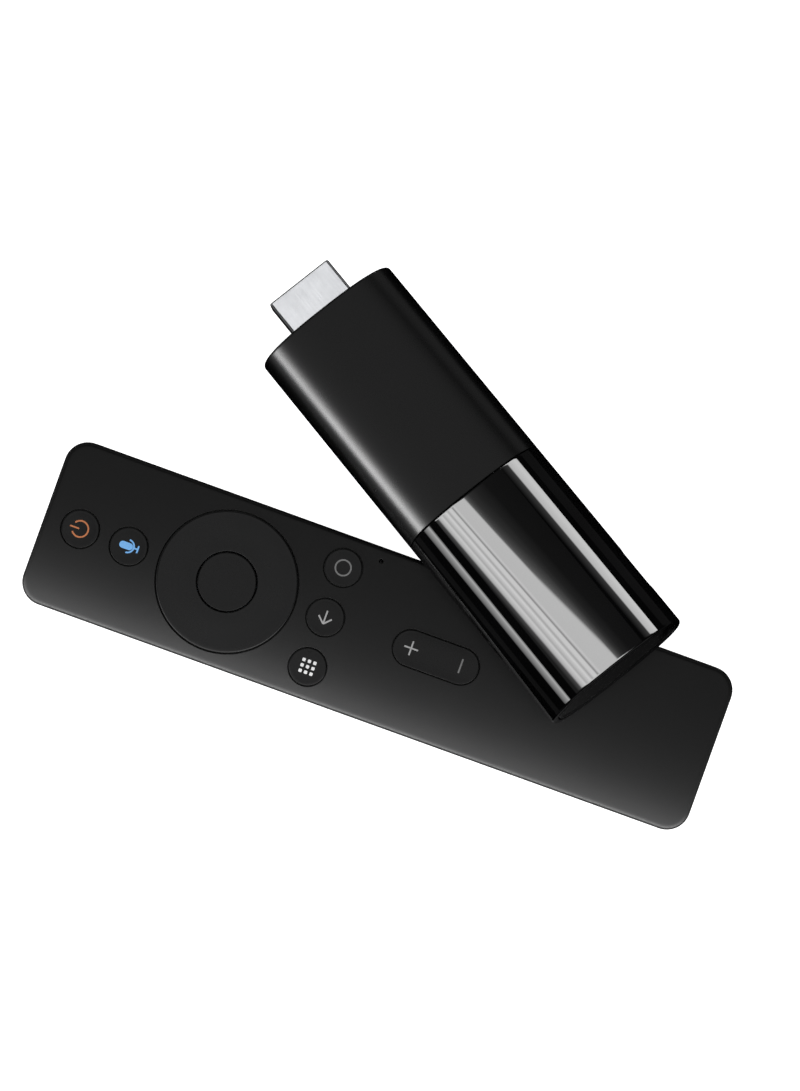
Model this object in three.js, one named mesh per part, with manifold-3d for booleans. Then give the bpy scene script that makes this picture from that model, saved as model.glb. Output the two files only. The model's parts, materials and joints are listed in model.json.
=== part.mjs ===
// A streaming media player: a stick with a video plug (HDMI Type A) that leans on its voice remote control.
// Millimetres, +Z up. The origin is the centre of the remote's underside, which lies on the table.
// +X runs along the remote, away from its power button; +Y points to the side that the stick is on.
import * as THREE from "three";
import { mergeVertices } from "three/addons/utils/BufferGeometryUtils.js";
import Module from "manifold-3d";

const wasm = await Module();
wasm.setup();

// ---------------------------------------------------------------- clearances
const GAP = 0.2; // between the pieces of a housing
const SLIP = 0.1; // between an inner part and what it lies on
const SOLDER = 0.05; // height of a part above the board that it is soldered to
const ROOM = 0.3; // all round what passes through a hole
const BITE = 0.1; // how far joined solids run into each other
const PAST = 1; // how far a cutting tool runs past a face

// ---------------------------------------------------------------- driving dimensions: remote
const REMOTE = { length: 132, width: 31.9, height: 14, corner: 4.45, wall: 1.3 };
const EDGE = { top: 0.9, belly: 3.5 }; // radii round the top face and round the underside
const PARTING = { low: 9.6, high: 9.8 }; // the seam between bottom case and top cover
const RIM = { outer: 1.5, inner: 2.15, low: 8, high: 10.8 }; // the case's lip inside the cover
const KEY = { radius: 3.55, gap: 0.2, edge: 0.3, proud: 0.15, flange: 0.75, low: 11.65, high: 12.35 };
const KEYS = {
  power_button: [-58.85, 0],
  voice_button: [-49.25, 0],
  home_button: [-10.3, 9.8],
  back_button: [-10.3, 0],
  apps_button: [-10.3, -9.8],
};
const DPAD = { x: -29.8, outer: 13.3, inner: 5.9, ok: 5.5, gap: 0.22, flangeHigh: 11.95, reach: 9.3 };
const DPAD_PAD = { inner: 6.85, lobe: 1.55, low: 10.97, high: 11.22 };
const ROCKER = {
  x: 11.6, half: 4.9, radius: 3.45, low: 11.9, flange: 0.5, flangeHigh: 12.1,
  fulcrum: 0.5, stem: 2, stemRadius: 1.2, lift: 0.4,
};
const BOARD = { left: -63, right: 15.7, half: 13.5, corner: 3, low: 8.6, high: 9.5 };
// Parts on the underside of the board, as x, y, length, width and height.
const UNDER_REMOTE_BOARD = {
  radio: [-1, 0, 6, 6, 0.9],
  crystal: [5, 4, 2, 3.2, 0.7],
  capacitor: [-8, -5, 2, 3.2, 1.3],
};
const DOMES = { low: 9.65, high: 9.8, domeTop: 9.88, radius: 1.6 };
const MAT = { low: 10.05, high: 10.55, pillTop: 11, pillRadius: 1.4, margin: 0.6 };
const MICROPHONE = { x: -4.05, y: 12.3, radius: 1.3, height: 1.1, port: 0.3, holeY: 13.4, hole: 0.45 };
const SCREW = { radius: 0.6, head: 1.3, low: 7.95, neck: 8.45, tip: 11.8, bore: 0.75, boss: 1.8 };
const SCREWS = [
  [-54.7, 11.4],
  [-54.7, -11.4],
  [4.4, 11.3],
  [4.4, -11.3],
];
const BATTERY = {
  radius: 5.15, length: 43.7, nub: 0.8, nubRadius: 1.9, edge: 0.4, nubEdge: 0.2, y: 5.5, z: 7,
};
const BAY = { left: 17, right: 63.7, half: 11.3, rail: 1, wallHigh: 10.5 };
const CONTACT = { plate: 0.3, half: 4.3, spring: 1.3, wire: 0.4, turns: 2.5, wide: 3.2, narrow: 1.8 };
const RIBS = { places: [-60.2, -44.6, -14.5, 8.7], half: 0.6 };
const DOOR = { left: 14.2, half: 12.1, rail: 12.9, low: 0.75, thick: 1.2, tongue: 1.8, tab: 4 };

// ---------------------------------------------------------------- driving dimensions: stick
// The stick has its own frame: X to the plug, Y across, Z up, with the origin at its middle.
const STICK = { length: 87.2, width: 30, thick: 15.2, power: 2.5, wall: 1.4 };
const MATTE_LENGTH = 44.8; // from the plug end to the seam; the rest is the gloss sleeve
const CAP = 1.4; // thickness of the two end caps
const CARRIER = { thick: 0.9, railHalf: 2.6, ring: 5, end: 2, ledge: [10.4, 12.9], ledgeThick: 0.95 };
const PLUG = { width: 13.9, thick: 4.45, out: 8.4, inside: 6, wall: 0.35, corner: 0.6 };
const PLUG_CORE = { sideGap: 0.3, gap: 0.12, depth: 1.2, lip: 0.5, lipTip: 0.8 };
const PINS = { pitch: 1, width: 0.44, thick: 0.2, tip: 1.6, strip: 0.5, upper: 10, lower: 9 };
const PCB = { left: -41.2, right: 36.8, half: 11, thick: 1 };
const CAN = { x: 8, length: 30, width: 19, height: 2, sheet: 0.3 };
const INLET = { x: -31, width: 7.5, thick: 2.5, depth: 5.4, mouth: 13.7, wall: 0.3, clear: 0.6 };
const TONGUE = {
  baseHalf: 3.2, baseLength: 1.1, baseRise: 0.85, half: 1.9, low: 0.1, high: 0.6, setBack: 0.6,
};
const LIGHT = { x: -21.5, radius: 0.7, length: 3.9 };
const CHIP = 1; // height of a large chip
// Parts on the board and under it, as x, y, length, width and height.
const ON_PCB = {
  processor: [1, 0, 14, 14, CHIP],
  memory: [15.5, 0, 11, 8, CHIP],
  crystal: [-12, 5, 3.2, 2.5, 0.7],
  inductor: [-20, 2, 4, 4, 1.8],
  capacitor: [-26, 4, 3.2, 1.6, 1.4],
  led: [LIGHT.x, -9.6, 1.6, 0.9, 0.6],
};
const UNDER_PCB = {
  flash: [8, 0, 13, 11.5, CHIP],
  wireless: [-14, 0, 12, 12, 1.6],
};
const HEAT_STACK = {
  lower: [1, 0, 12, 12, 0.5],
  upper: [6, 0, 24, 14, 0.6],
  spreader: [4, 0, 62, 15, 0.8],
};
const ANTENNA = { x: -38.5, y: 3, length: 3, width: 13, height: 1.4, sheet: 0.25, foot: 2 };
// The stick stands on the rim of its plug end and leans on the long edge of the remote.
const LEAN = { x: 7.2, y: 30.84, z: 17.33, yaw: 148.83, pitch: 12.9, roll: 3 };

const SEGMENTS = { section: 48, key: 24, ring: 40, pin: 12, corner: 5, edge: 2, belly: 4, coil: 26, wire: 3 };

// ---------------------------------------------------------------- materials
const finish = (color, roughness, metalness = 0) =>
  new THREE.MeshStandardMaterial({ color, roughness, metalness });
const MATERIAL = {
  remote: finish(0x1d1d1e, 0.55),
  key: finish(0x171718, 0.5),
  matte: finish(0x1c1c1c, 0.45),
  gloss: finish(0x050505, 0.06),
  carrier: finish(0x2a2a2c, 0.6),
  silicone: finish(0x3a3a3d, 0.8),
  board: finish(0x14402a, 0.5),
  chip: finish(0x0c0c0d, 0.4),
  steel: finish(0xd0d2d6, 0.28, 1),
  nickel: finish(0xb8bac0, 0.3, 1),
  aluminium: finish(0xb4b8bc, 0.4, 1),
  gold: finish(0xd9a441, 0.25, 1),
  insulator: finish(0x101010, 0.5),
  pad: finish(0x8d99a6, 0.9),
  ferrite: finish(0x3b3b3d, 0.7),
  ceramic: finish(0x9c7b55, 0.5),
  lens: finish(0xf2f4f6, 0.15),
  battery: finish(0x2f5f8f, 0.35),
};

// ---------------------------------------------------------------- geometry helpers
// A closed three.js geometry as a solid that can be joined and cut.
function solid(geometry) {
  const bare = geometry.index ? geometry.toNonIndexed() : geometry.clone();
  for (const name of Object.keys(bare.attributes)) {
    if (name !== "position") bare.deleteAttribute(name);
  }
  const merged = mergeVertices(bare, 1e-4);
  return new wasm.Manifold(
    new wasm.Mesh({
      numProp: 3,
      vertProperties: merged.attributes.position.array,
      triVerts: new Uint32Array(merged.index.array),
    }),
  );
}

function geometryOf(body) {
  const mesh = body.getMesh();
  const geometry = new THREE.BufferGeometry();
  geometry.setAttribute("position", new THREE.BufferAttribute(mesh.vertProperties, 3));
  geometry.setIndex(new THREE.BufferAttribute(mesh.triVerts, 1));
  geometry.computeVertexNormals();
  return geometry;
}

const join = (...bodies) => bodies.reduce((all, body) => all.add(body));
const cut = (body, ...tools) => tools.reduce((left, tool) => left.subtract(tool), body);
const ordered = (a, b) => [Math.min(a, b), Math.max(a, b)];
const CLEAR_TOP = REMOTE.height + PAST; // a cutting tool that starts below this leaves through the top face

// A box between two corners.
function block(x0, x1, y0, y1, z0, z1) {
  const box = new THREE.BoxGeometry(x1 - x0, y1 - y0, z1 - z0);
  return solid(box.translate((x0 + x1) / 2, (y0 + y1) / 2, (z0 + z1) / 2));
}

// A box given by its middle, its size and its underside.
const plate = (x, y, length, width, z0, height) =>
  block(x - length / 2, x + length / 2, y - width / 2, y + width / 2, z0, z0 + height);

// An upright cylinder.
function drum(x, y, radius, z0, z1, segments = SEGMENTS.key) {
  const cylinder = new THREE.CylinderGeometry(radius, radius, z1 - z0, segments);
  return solid(cylinder.rotateX(Math.PI / 2).translate(x, y, (z0 + z1) / 2));
}

// A solid of revolution about the upright line through (x, y); the profile is [radius, z], going up.
function turned(profile, x = 0, y = 0, segments = SEGMENTS.key) {
  const points = profile.map(([r, z]) => new THREE.Vector2(r, z));
  return solid(new THREE.LatheGeometry(points, segments).rotateX(Math.PI / 2).translate(x, y, 0));
}

// A solid through rings of equally many points [x, y, z], with flat ends.
function loft(rings) {
  const count = rings[0].length;
  const last = (rings.length - 1) * count;
  const index = [];
  for (let base = 0; base < last; base += count) {
    for (let i = 0; i < count; i++) {
      const j = (i + 1) % count;
      index.push(base + i, base + j, base + count + j);
      index.push(base + i, base + count + j, base + count + i);
    }
  }
  for (let i = 1; i + 1 < count; i++) {
    index.push(0, i + 1, i);
    index.push(last, last + i, last + i + 1);
  }
  const geometry = new THREE.BufferGeometry();
  geometry.setAttribute("position", new THREE.Float32BufferAttribute(rings.flat(2), 3));
  geometry.setIndex(index);
  return solid(geometry);
}

// The outline of a rounded rectangle at height z, drawn in by inset all round.
function roundedRing({ length, width, corner }, inset, z) {
  const radius = Math.max(corner - inset, 0.3);
  const straightX = length / 2 - inset - radius;
  const straightY = width / 2 - inset - radius;
  const ring = [];
  for (let quarter = 0; quarter < 4; quarter++) {
    const sideX = quarter === 0 || quarter === 3 ? 1 : -1;
    const sideY = quarter < 2 ? 1 : -1;
    for (let k = 0; k <= SEGMENTS.corner; k++) {
      const angle = ((quarter + k / SEGMENTS.corner) * Math.PI) / 2;
      const x = sideX * straightX + radius * Math.cos(angle);
      ring.push([x, sideY * straightY + radius * Math.sin(angle), z]);
    }
  }
  return ring;
}

const slab = (size, levels) => loft(levels.map(([inset, z]) => roundedRing(size, inset, z)));

// The volume rocker's outline: two half circles joined by straight sides.
function pillRing(radius, z) {
  return Array.from({ length: SEGMENTS.ring }, (_, k) => {
    const angle = ((k + 0.5) / SEGMENTS.ring) * 2 * Math.PI;
    const end = ROCKER.x + Math.sign(Math.cos(angle)) * ROCKER.half;
    return [end + radius * Math.cos(angle), radius * Math.sin(angle), z];
  });
}

const pill = (levels) => loft(levels.map(([radius, z]) => pillRing(radius, z)));

// Levels [inset, z] of a rounded edge, from the upright wall at wallZ to the flat face at faceZ.
function roundEdge(radius, wallZ, faceZ, steps = SEGMENTS.edge) {
  return Array.from({ length: steps + 1 }, (_, k) => {
    const angle = ((k / steps) * Math.PI) / 2;
    return [radius * (1 - Math.cos(angle)), wallZ + (faceZ - wallZ) * Math.sin(angle)];
  });
}

// The rounded rim of a key of the given radius, as levels [radius, z].
const KEY_TOP = REMOTE.height + KEY.proud;
const keyRim = (radius) =>
  roundEdge(KEY.edge, KEY_TOP - KEY.edge, KEY_TOP).map(([inset, z]) => [radius - inset, z]);

// The stick's oval section, drawn in by inset all round, at x along the stick.
function ovalRing(inset, x) {
  const { width, thick, power } = STICK;
  const bulge = (v) => Math.sign(v) * Math.abs(v) ** (2 / power);
  return Array.from({ length: SEGMENTS.section }, (_, k) => {
    const angle = (k / SEGMENTS.section) * 2 * Math.PI;
    const across = (width / 2 - inset) * bulge(Math.cos(angle));
    return [x, across, (thick / 2 - inset) * bulge(Math.sin(angle))];
  });
}

const oval = (inset, x0, x1) => loft([ovalRing(inset, x0), ovalRing(inset, x1)]);
const ovalTube = (outer, inner, x0, x1) => cut(oval(outer, x0, x1), oval(inner, x0 - PAST, x1 + PAST));

// ---------------------------------------------------------------- scene graph
const set = new THREE.Group();
const remote = new THREE.Group();
const stick = new THREE.Group();
set.add(remote, stick);

const radians = THREE.MathUtils.degToRad;
stick.position.set(LEAN.x, LEAN.y, LEAN.z);
stick.rotation.set(radians(LEAN.roll), radians(LEAN.pitch), radians(LEAN.yaw), "ZYX");

function place(group, name, body, material) {
  const mesh = new THREE.Mesh(geometryOf(body), material);
  mesh.name = name;
  group.add(mesh);
}

// ---------------------------------------------------------------- remote: casings
const COVER_UNDER = REMOTE.height - REMOTE.wall;

function topCover() {
  const outside = slab(REMOTE, [
    [0, PARTING.high],
    ...roundEdge(EDGE.top, REMOTE.height - EDGE.top, REMOTE.height),
  ]);
  const inside = slab(REMOTE, [[REMOTE.wall, 0], [REMOTE.wall, COVER_UNDER]]);
  const bosses = SCREWS.map(([x, y]) => drum(x, y, SCREW.boss, BOARD.high + SOLDER, COVER_UNDER + BITE));
  const bores = SCREWS.map(([x, y]) => drum(x, y, SCREW.bore, 0, SCREW.tip + ROOM, SEGMENTS.pin));
  const keyHoles = Object.values(KEYS).map(([x, y]) =>
    drum(x, y, KEY.radius + KEY.gap, KEY.low, CLEAR_TOP));
  return cut(
    join(cut(outside, inside), ...bosses),
    ...bores,
    ...keyHoles,
    drum(DPAD.x, 0, DPAD.outer + DPAD.gap, KEY.low, CLEAR_TOP, SEGMENTS.ring),
    pill([KEY.low, CLEAR_TOP].map((z) => [ROCKER.radius + KEY.gap, z])),
    drum(MICROPHONE.x, MICROPHONE.holeY, MICROPHONE.hole, KEY.low, CLEAR_TOP, SEGMENTS.pin),
  );
}

const caseOutside = slab(REMOTE, [
  ...roundEdge(EDGE.belly, EDGE.belly, 0, SEGMENTS.belly).reverse(),
  [0, PARTING.low],
]);

// The space that the battery door fills, or with a gap the opening that it lies in.
function doorSpace(gap) {
  const { left, half, rail, low, thick, tongue, tab } = DOOR;
  const panel = block(left - gap, REMOTE.length, -half - gap, half + gap, -PAST, thick + gap);
  const rails = block(left - gap, REMOTE.length, -rail - gap, rail + gap, low - gap, thick + gap);
  const latch = block(left - tongue - gap, left + tab, -tab - gap, tab + gap, low - gap, thick + gap);
  return join(panel, rails, latch);
}

function bottomCase() {
  const { wall } = REMOTE;
  const into = wall - BITE; // ribs and rails run this far into the walls that they stand on
  const across = (x0, x1, inset, top) =>
    block(x0, x1, inset - REMOTE.width / 2, REMOTE.width / 2 - inset, into, top);
  const hollow = cut(caseOutside, slab(REMOTE, [[wall, wall], [wall, REMOTE.height]]));
  const rim = cut(
    slab(REMOTE, [[RIM.outer, RIM.low], [RIM.outer, RIM.high]]),
    slab(REMOTE, [[RIM.inner, 0], [RIM.inner, REMOTE.height]]),
  );
  const rimRoot = cut(
    slab(REMOTE, [[wall / 2, RIM.low], [wall / 2, PARTING.low - GAP]]),
    slab(REMOTE, [[RIM.inner, 0], [RIM.inner, REMOTE.height]]),
  );
  const ribs = RIBS.places.map((x) => across(x - RIBS.half, x + RIBS.half, into, BOARD.low - SLIP));
  const rails = [-1, 1].map((side) => {
    const [near, far] = ordered(side * BAY.half, side * (BAY.half + BAY.rail));
    return block(BAY.left - BAY.rail / 2, REMOTE.length / 2 - into, near, far, into, PARTING.low - GAP);
  });
  const bayWall = across(BAY.left - BAY.rail, BAY.left, RIM.outer, BAY.wallHigh);
  return cut(join(hollow, rim, rimRoot, bayWall, ...rails, ...ribs), doorSpace(GAP));
}

place(remote, "remote_top_cover", topCover(), MATERIAL.remote);
place(remote, "remote_bottom_case", bottomCase(), MATERIAL.remote);
place(remote, "battery_door", caseOutside.intersect(doorSpace(0)), MATERIAL.remote);

// ---------------------------------------------------------------- remote: keys
// A round key with a flange that keeps it under the cover.
function roundKey(x, y, radius, flangeHigh, segments) {
  const profile = [
    [0, KEY.low],
    [radius + KEY.flange, KEY.low],
    [radius + KEY.flange, flangeHigh],
    [radius, flangeHigh],
    ...keyRim(radius),
    [0, KEY_TOP],
  ];
  return turned(profile, x, y, segments);
}

for (const [name, [x, y]] of Object.entries(KEYS)) {
  place(remote, name, roundKey(x, y, KEY.radius, KEY.high, SEGMENTS.key), MATERIAL.key);
}

function volumeRocker() {
  const { x, radius, low, flange, flangeHigh, fulcrum, stem, stemRadius } = ROCKER;
  const cap = pill([
    [radius + flange, low],
    [radius + flange, flangeHigh],
  ]).add(pill([[radius, low], ...keyRim(radius)]));
  const bar = block(x - fulcrum, x + fulcrum, -radius, radius, MAT.high + SLIP, low + BITE);
  const stems = [-1, 1].map((side) =>
    drum(x + side * stem, 0, stemRadius, MAT.pillTop + ROCKER.lift, low + BITE, SEGMENTS.pin));
  return join(cap, bar, ...stems);
}

const dpadRing = cut(
  roundKey(DPAD.x, 0, DPAD.outer, DPAD.flangeHigh, SEGMENTS.ring),
  drum(DPAD.x, 0, DPAD.inner, 0, CLEAR_TOP),
);
const okButton = turned([[0, KEY.low], [DPAD.ok, KEY.low], ...keyRim(DPAD.ok), [0, KEY_TOP]], DPAD.x);

// The four places on the navigation ring that press a switch.
const dpadCorners = [0, 1, 2, 3].map((quarter) => {
  const angle = (quarter * Math.PI) / 2;
  return [DPAD.x + DPAD.reach * Math.cos(angle), DPAD.reach * Math.sin(angle)];
});

// The silicone pad that carries the navigation ring on four lobes.
function dpadPad() {
  const { inner, lobe, low, high } = DPAD_PAD;
  const lobes = dpadCorners.map(([x, y]) => drum(x, y, lobe, low, high, SEGMENTS.pin));
  const disc = drum(DPAD.x, 0, DPAD.reach, low, high);
  return cut(join(disc, ...lobes), drum(DPAD.x, 0, inner, 0, CLEAR_TOP));
}

place(remote, "dpad_ring", dpadRing, MATERIAL.key);
place(remote, "ok_button", okButton, MATERIAL.key);
place(remote, "dpad_pad", dpadPad(), MATERIAL.silicone);
place(remote, "volume_rocker", volumeRocker(), MATERIAL.key);

// ---------------------------------------------------------------- remote: board, switches and keypad
const keySwitches = [
  ...Object.values(KEYS),
  [DPAD.x, 0],
  [ROCKER.x - ROCKER.stem, 0],
  [ROCKER.x + ROCKER.stem, 0],
];

// A sheet with the board's outline, drawn in by a margin, with holes of one radius at the screws.
function sheet(z0, z1, margin, screwHole) {
  const size = { length: BOARD.right - BOARD.left, width: 2 * BOARD.half, corner: BOARD.corner };
  const blank = slab(size, [[margin, z0], [margin, z1]]).translate([
    (BOARD.left + BOARD.right) / 2, 0, 0,
  ]);
  const holes = SCREWS.map(([x, y]) => drum(x, y, screwHole, 0, CLEAR_TOP, SEGMENTS.pin));
  return cut(blank, ...holes);
}

const microphoneHole = drum(
  MICROPHONE.x, MICROPHONE.y, MICROPHONE.radius + ROOM, 0, CLEAR_TOP, SEGMENTS.pin,
);

function domeSheet() {
  const domes = [...keySwitches, ...dpadCorners].map(([x, y]) =>
    drum(x, y, DOMES.radius, DOMES.low, DOMES.domeTop, SEGMENTS.pin));
  return cut(join(sheet(DOMES.low, DOMES.high, MAT.margin, SCREW.boss + ROOM), ...domes), microphoneHole);
}

function keypadMat() {
  const pills = keySwitches.map(([x, y]) =>
    drum(x, y, MAT.pillRadius, MAT.low, MAT.pillTop, SEGMENTS.pin));
  return cut(join(sheet(MAT.low, MAT.high, MAT.margin, SCREW.boss + ROOM), ...pills), microphoneHole);
}

// A small can on the board with a sound port in its lid.
function microphone() {
  const { x, y, radius, height, port } = MICROPHONE;
  const low = BOARD.high + SOLDER;
  const can = drum(x, y, radius, low, low + height, SEGMENTS.pin);
  return cut(can, drum(x, y, port, low + height / 2, CLEAR_TOP, SEGMENTS.pin));
}

const hangs = (x, y, length, width, height) =>
  plate(x, y, length, width, BOARD.low - SOLDER - height, height);

function boardScrew(x, y) {
  const { radius, head, low, neck, tip } = SCREW;
  return turned([[0, low], [head, low], [head, neck], [radius, neck], [radius, tip], [0, tip]], x, y,
    SEGMENTS.pin);
}

place(remote, "remote_circuit_board", sheet(BOARD.low, BOARD.high, 0, SCREW.radius + ROOM), MATERIAL.board);
place(remote, "dome_switch_sheet", domeSheet(), MATERIAL.nickel);
place(remote, "keypad_mat", keypadMat(), MATERIAL.silicone);
place(remote, "microphone", microphone(), MATERIAL.nickel);
place(remote, "radio_chip", hangs(...UNDER_REMOTE_BOARD.radio), MATERIAL.chip);
place(remote, "remote_crystal", hangs(...UNDER_REMOTE_BOARD.crystal), MATERIAL.steel);
place(remote, "remote_capacitor", hangs(...UNDER_REMOTE_BOARD.capacitor), MATERIAL.ceramic);
SCREWS.forEach(([x, y], k) => place(remote, `board_screw_${k + 1}`, boardScrew(x, y), MATERIAL.steel));

// ---------------------------------------------------------------- remote: batteries and contacts
// An AAA cell with its flat end at x and its nub pointing along +X (direction 1) or -X (-1).
function battery(x, y, direction) {
  const { radius, length, nub, nubRadius, edge, nubEdge } = BATTERY;
  const cell = turned([
    [0, 0],
    [radius - edge, 0],
    [radius, edge],
    [radius, length - edge],
    [radius - edge, length],
    [nubRadius, length],
    [nubRadius, length + nub - nubEdge],
    [nubRadius - nubEdge, length + nub],
    [0, length + nub],
  ]);
  return cell.rotate([0, 90 * direction, 0]).translate([x, y, BATTERY.z]);
}

// The path of a conical coil that rises from a contact plate at x along +X or -X.
class Coil extends THREE.Curve {
  constructor(x, y, direction) {
    super();
    Object.assign(this, { x, y, direction });
  }

  getPoint(t, target = new THREE.Vector3()) {
    const { turns, wide, narrow, wire, spring } = CONTACT;
    const angle = 2 * Math.PI * turns * t;
    const radius = wide + (narrow - wide) * t;
    const rise = wire / 2 + t * (spring - 1.5 * wire);
    return target.set(
      this.x + this.direction * rise,
      this.y + radius * Math.cos(angle),
      BATTERY.z + radius * Math.sin(angle),
    );
  }
}

function coilSpring(x, y, direction) {
  const wire = new THREE.Shape().absarc(0, 0, CONTACT.wire / 2, 0, 2 * Math.PI);
  const sweep = { steps: SEGMENTS.coil, curveSegments: SEGMENTS.wire };
  return solid(new THREE.ExtrudeGeometry(wire, { ...sweep, extrudePath: new Coil(x, y, direction) }));
}

const contactPlate = (x, y0, y1) =>
  block(x, x + CONTACT.plate, y0 - CONTACT.half, y1 + CONTACT.half,
    BATTERY.z - CONTACT.half, BATTERY.z + CONTACT.half);
const leftPlate = BAY.left + SLIP;
const rightPlate = BAY.right - SLIP - CONTACT.plate;
const leftSpring = leftPlate + CONTACT.plate;
const cellY = BATTERY.y;

const negativeContact = join(
  contactPlate(leftPlate, cellY, cellY),
  coilSpring(leftSpring - BITE, cellY, 1),
);
const bridgeContact = join(
  contactPlate(rightPlate, -cellY, cellY),
  coilSpring(rightPlate + BITE, -cellY, -1),
);
place(remote, "negative_contact", negativeContact, MATERIAL.nickel);
place(remote, "positive_contact", contactPlate(leftPlate, -cellY, -cellY), MATERIAL.nickel);
place(remote, "bridge_contact", bridgeContact, MATERIAL.nickel);
place(remote, "battery_1", battery(leftSpring + CONTACT.spring, cellY, 1), MATERIAL.battery);
place(remote, "battery_2", battery(rightPlate - CONTACT.spring, -cellY, -1), MATERIAL.battery);

// ---------------------------------------------------------------- stick: housing
const END = STICK.length / 2; // the plug end is at +END, the tail at -END
const SPLIT = END - MATTE_LENGTH;
const INSIDE = STICK.wall + GAP; // inset of what lies against the inside of the sleeves

const inletOpening = block(
  INLET.x - INLET.width / 2 - INLET.clear, INLET.x + INLET.width / 2 + INLET.clear,
  -STICK.width, GAP - CARRIER.ledge[0], -INLET.thick / 2 - INLET.clear, INLET.thick / 2 + INLET.clear,
);

// A rod across the wall at the status light.
function lightRod(radius, length) {
  const rod = new THREE.CylinderGeometry(radius, radius, length, SEGMENTS.pin);
  return solid(rod.translate(LIGHT.x, (LIGHT.length - STICK.width) / 2 + SOLDER, 0));
}

// The tube frame inside both sleeves: a ring across their seam and a rail down each side.
function carrier() {
  const { thick, railHalf, ring, end, ledge, ledgeThick } = CARRIER;
  const tube = ovalTube(INSIDE, INSIDE + thick, -END + end, END - end);
  const ringSpace = block(SPLIT - ring, SPLIT + ring, -STICK.width, STICK.width, -STICK.thick, STICK.thick);
  const railSpace = block(-END, END, -STICK.width, STICK.width, -railHalf, railHalf);
  const ledges = [-1, 1].map((side) => {
    const [near, far] = ordered(side * ledge[0], side * ledge[1]);
    const top = -PCB.thick / 2 - SOLDER;
    return block(PCB.left, PCB.right, near, far, top - ledgeThick, top);
  });
  const frame = join(tube.intersect(join(ringSpace, railSpace)), ...ledges);
  return cut(frame, inletOpening, lightRod(LIGHT.radius + GAP, STICK.thick));
}

function plugCap() {
  const hole = { length: PLUG.width + 2 * GAP, width: PLUG.thick + 2 * GAP, corner: PLUG.corner + GAP };
  return cut(oval(INSIDE, END - CAP, END), socketPrism(hole, END - CAP - PAST, END + PAST));
}

// A prism along X whose section is a rounded rectangle of the given size.
function socketPrism(size, x0, x1) {
  const ringAt = (x) => roundedRing(size, 0, 0).map(([across, up]) => [x, across, up]);
  return loft([ringAt(x0), ringAt(x1)]);
}

const glossSleeve = cut(
  ovalTube(0, STICK.wall, -END, SPLIT - GAP), inletOpening, lightRod(LIGHT.radius + GAP, STICK.thick),
);
place(stick, "matte_sleeve", ovalTube(0, STICK.wall, SPLIT, END), MATERIAL.matte);
place(stick, "gloss_sleeve", glossSleeve, MATERIAL.gloss);
place(stick, "plug_end_cap", plugCap(), MATERIAL.matte);
place(stick, "tail_end_cap", oval(INSIDE, -END, CAP - END), MATERIAL.gloss);
place(stick, "carrier_frame", carrier(), MATERIAL.carrier);

// ---------------------------------------------------------------- stick: video plug
const PLUG_TIP = END + PLUG.out;
const PLUG_ROOT = END - PLUG.inside;
const CORE_HALF = PLUG.width / 2 - PLUG.wall - PLUG_CORE.sideGap;
const CORE_RISE = PLUG.thick / 2 - PLUG.wall - PLUG_CORE.gap;

function plugShell() {
  const { width, thick, wall, corner } = PLUG;
  const outer = { length: width, width: thick, corner };
  const inner = { length: width - 2 * wall, width: thick - 2 * wall, corner: corner - wall / 2 };
  return cut(socketPrism(outer, PLUG_ROOT, PLUG_TIP), socketPrism(inner, PLUG_ROOT - PAST, PLUG_TIP + PAST));
}

// The moulded core at the root of the plug, with the two lips that carry the contacts.
function plugCore() {
  const { depth, lip, lipTip } = PLUG_CORE;
  const core = block(PLUG_ROOT, END - depth, -CORE_HALF, CORE_HALF, -CORE_RISE, CORE_RISE);
  const lips = [-1, 1].map((side) => {
    const [z0, z1] = ordered(side * CORE_RISE, side * (CORE_RISE - lip));
    return block(END - depth - BITE, PLUG_TIP - lipTip, -CORE_HALF, CORE_HALF, z0, z1);
  });
  return join(core, ...lips);
}

// One row of contact fingers, joined by a strip at their root.
function plugContacts(side, count) {
  const face = CORE_RISE - PLUG_CORE.lip - SOLDER;
  const [z0, z1] = ordered(side * face, side * (face - PINS.thick));
  const first = (-(count - 1) * PINS.pitch) / 2;
  const root = END - PLUG_CORE.depth + SOLDER;
  const strip = block(root, root + PINS.strip, first, -first, z0, z1);
  const fingers = Array.from({ length: count }, (_, k) => {
    const y = first + k * PINS.pitch;
    return block(root, PLUG_TIP - PINS.tip, y - PINS.width / 2, y + PINS.width / 2, z0, z1);
  });
  return join(strip, ...fingers);
}

place(stick, "video_plug_shell", plugShell(), MATERIAL.steel);
place(stick, "video_plug_core", plugCore(), MATERIAL.insulator);
place(stick, "video_contacts_upper", plugContacts(1, PINS.upper), MATERIAL.gold);
place(stick, "video_contacts_lower", plugContacts(-1, PINS.lower), MATERIAL.gold);

// ---------------------------------------------------------------- stick: board and its parts
const FACE = PCB.thick / 2 + SOLDER; // underside of what is soldered on top of the board
const CAN_TOP = FACE + CAN.height;
const above = (x, y, length, width, height) => plate(x, y, length, width, FACE, height);
const below = (x, y, length, width, height) => plate(x, y, length, width, -FACE - height, height);

function board() {
  const blank = plate(
    (PCB.left + PCB.right) / 2, 0, PCB.right - PCB.left, 2 * PCB.half, -PCB.thick / 2, PCB.thick,
  );
  const inletNotch = block(
    INLET.x - INLET.width / 2 - GAP, INLET.x + INLET.width / 2 + GAP,
    -STICK.width, INLET.depth - INLET.mouth + GAP, -PCB.thick, PCB.thick,
  );
  return cut(blank, inletNotch);
}

// A folded lid, open towards the board.
function shieldCan() {
  const { x, length, width, height, sheet: wall } = CAN;
  const inside = plate(x, 0, length - 2 * wall, width - 2 * wall, FACE - wall, height);
  return cut(above(x, 0, length, width, height), inside);
}

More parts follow.
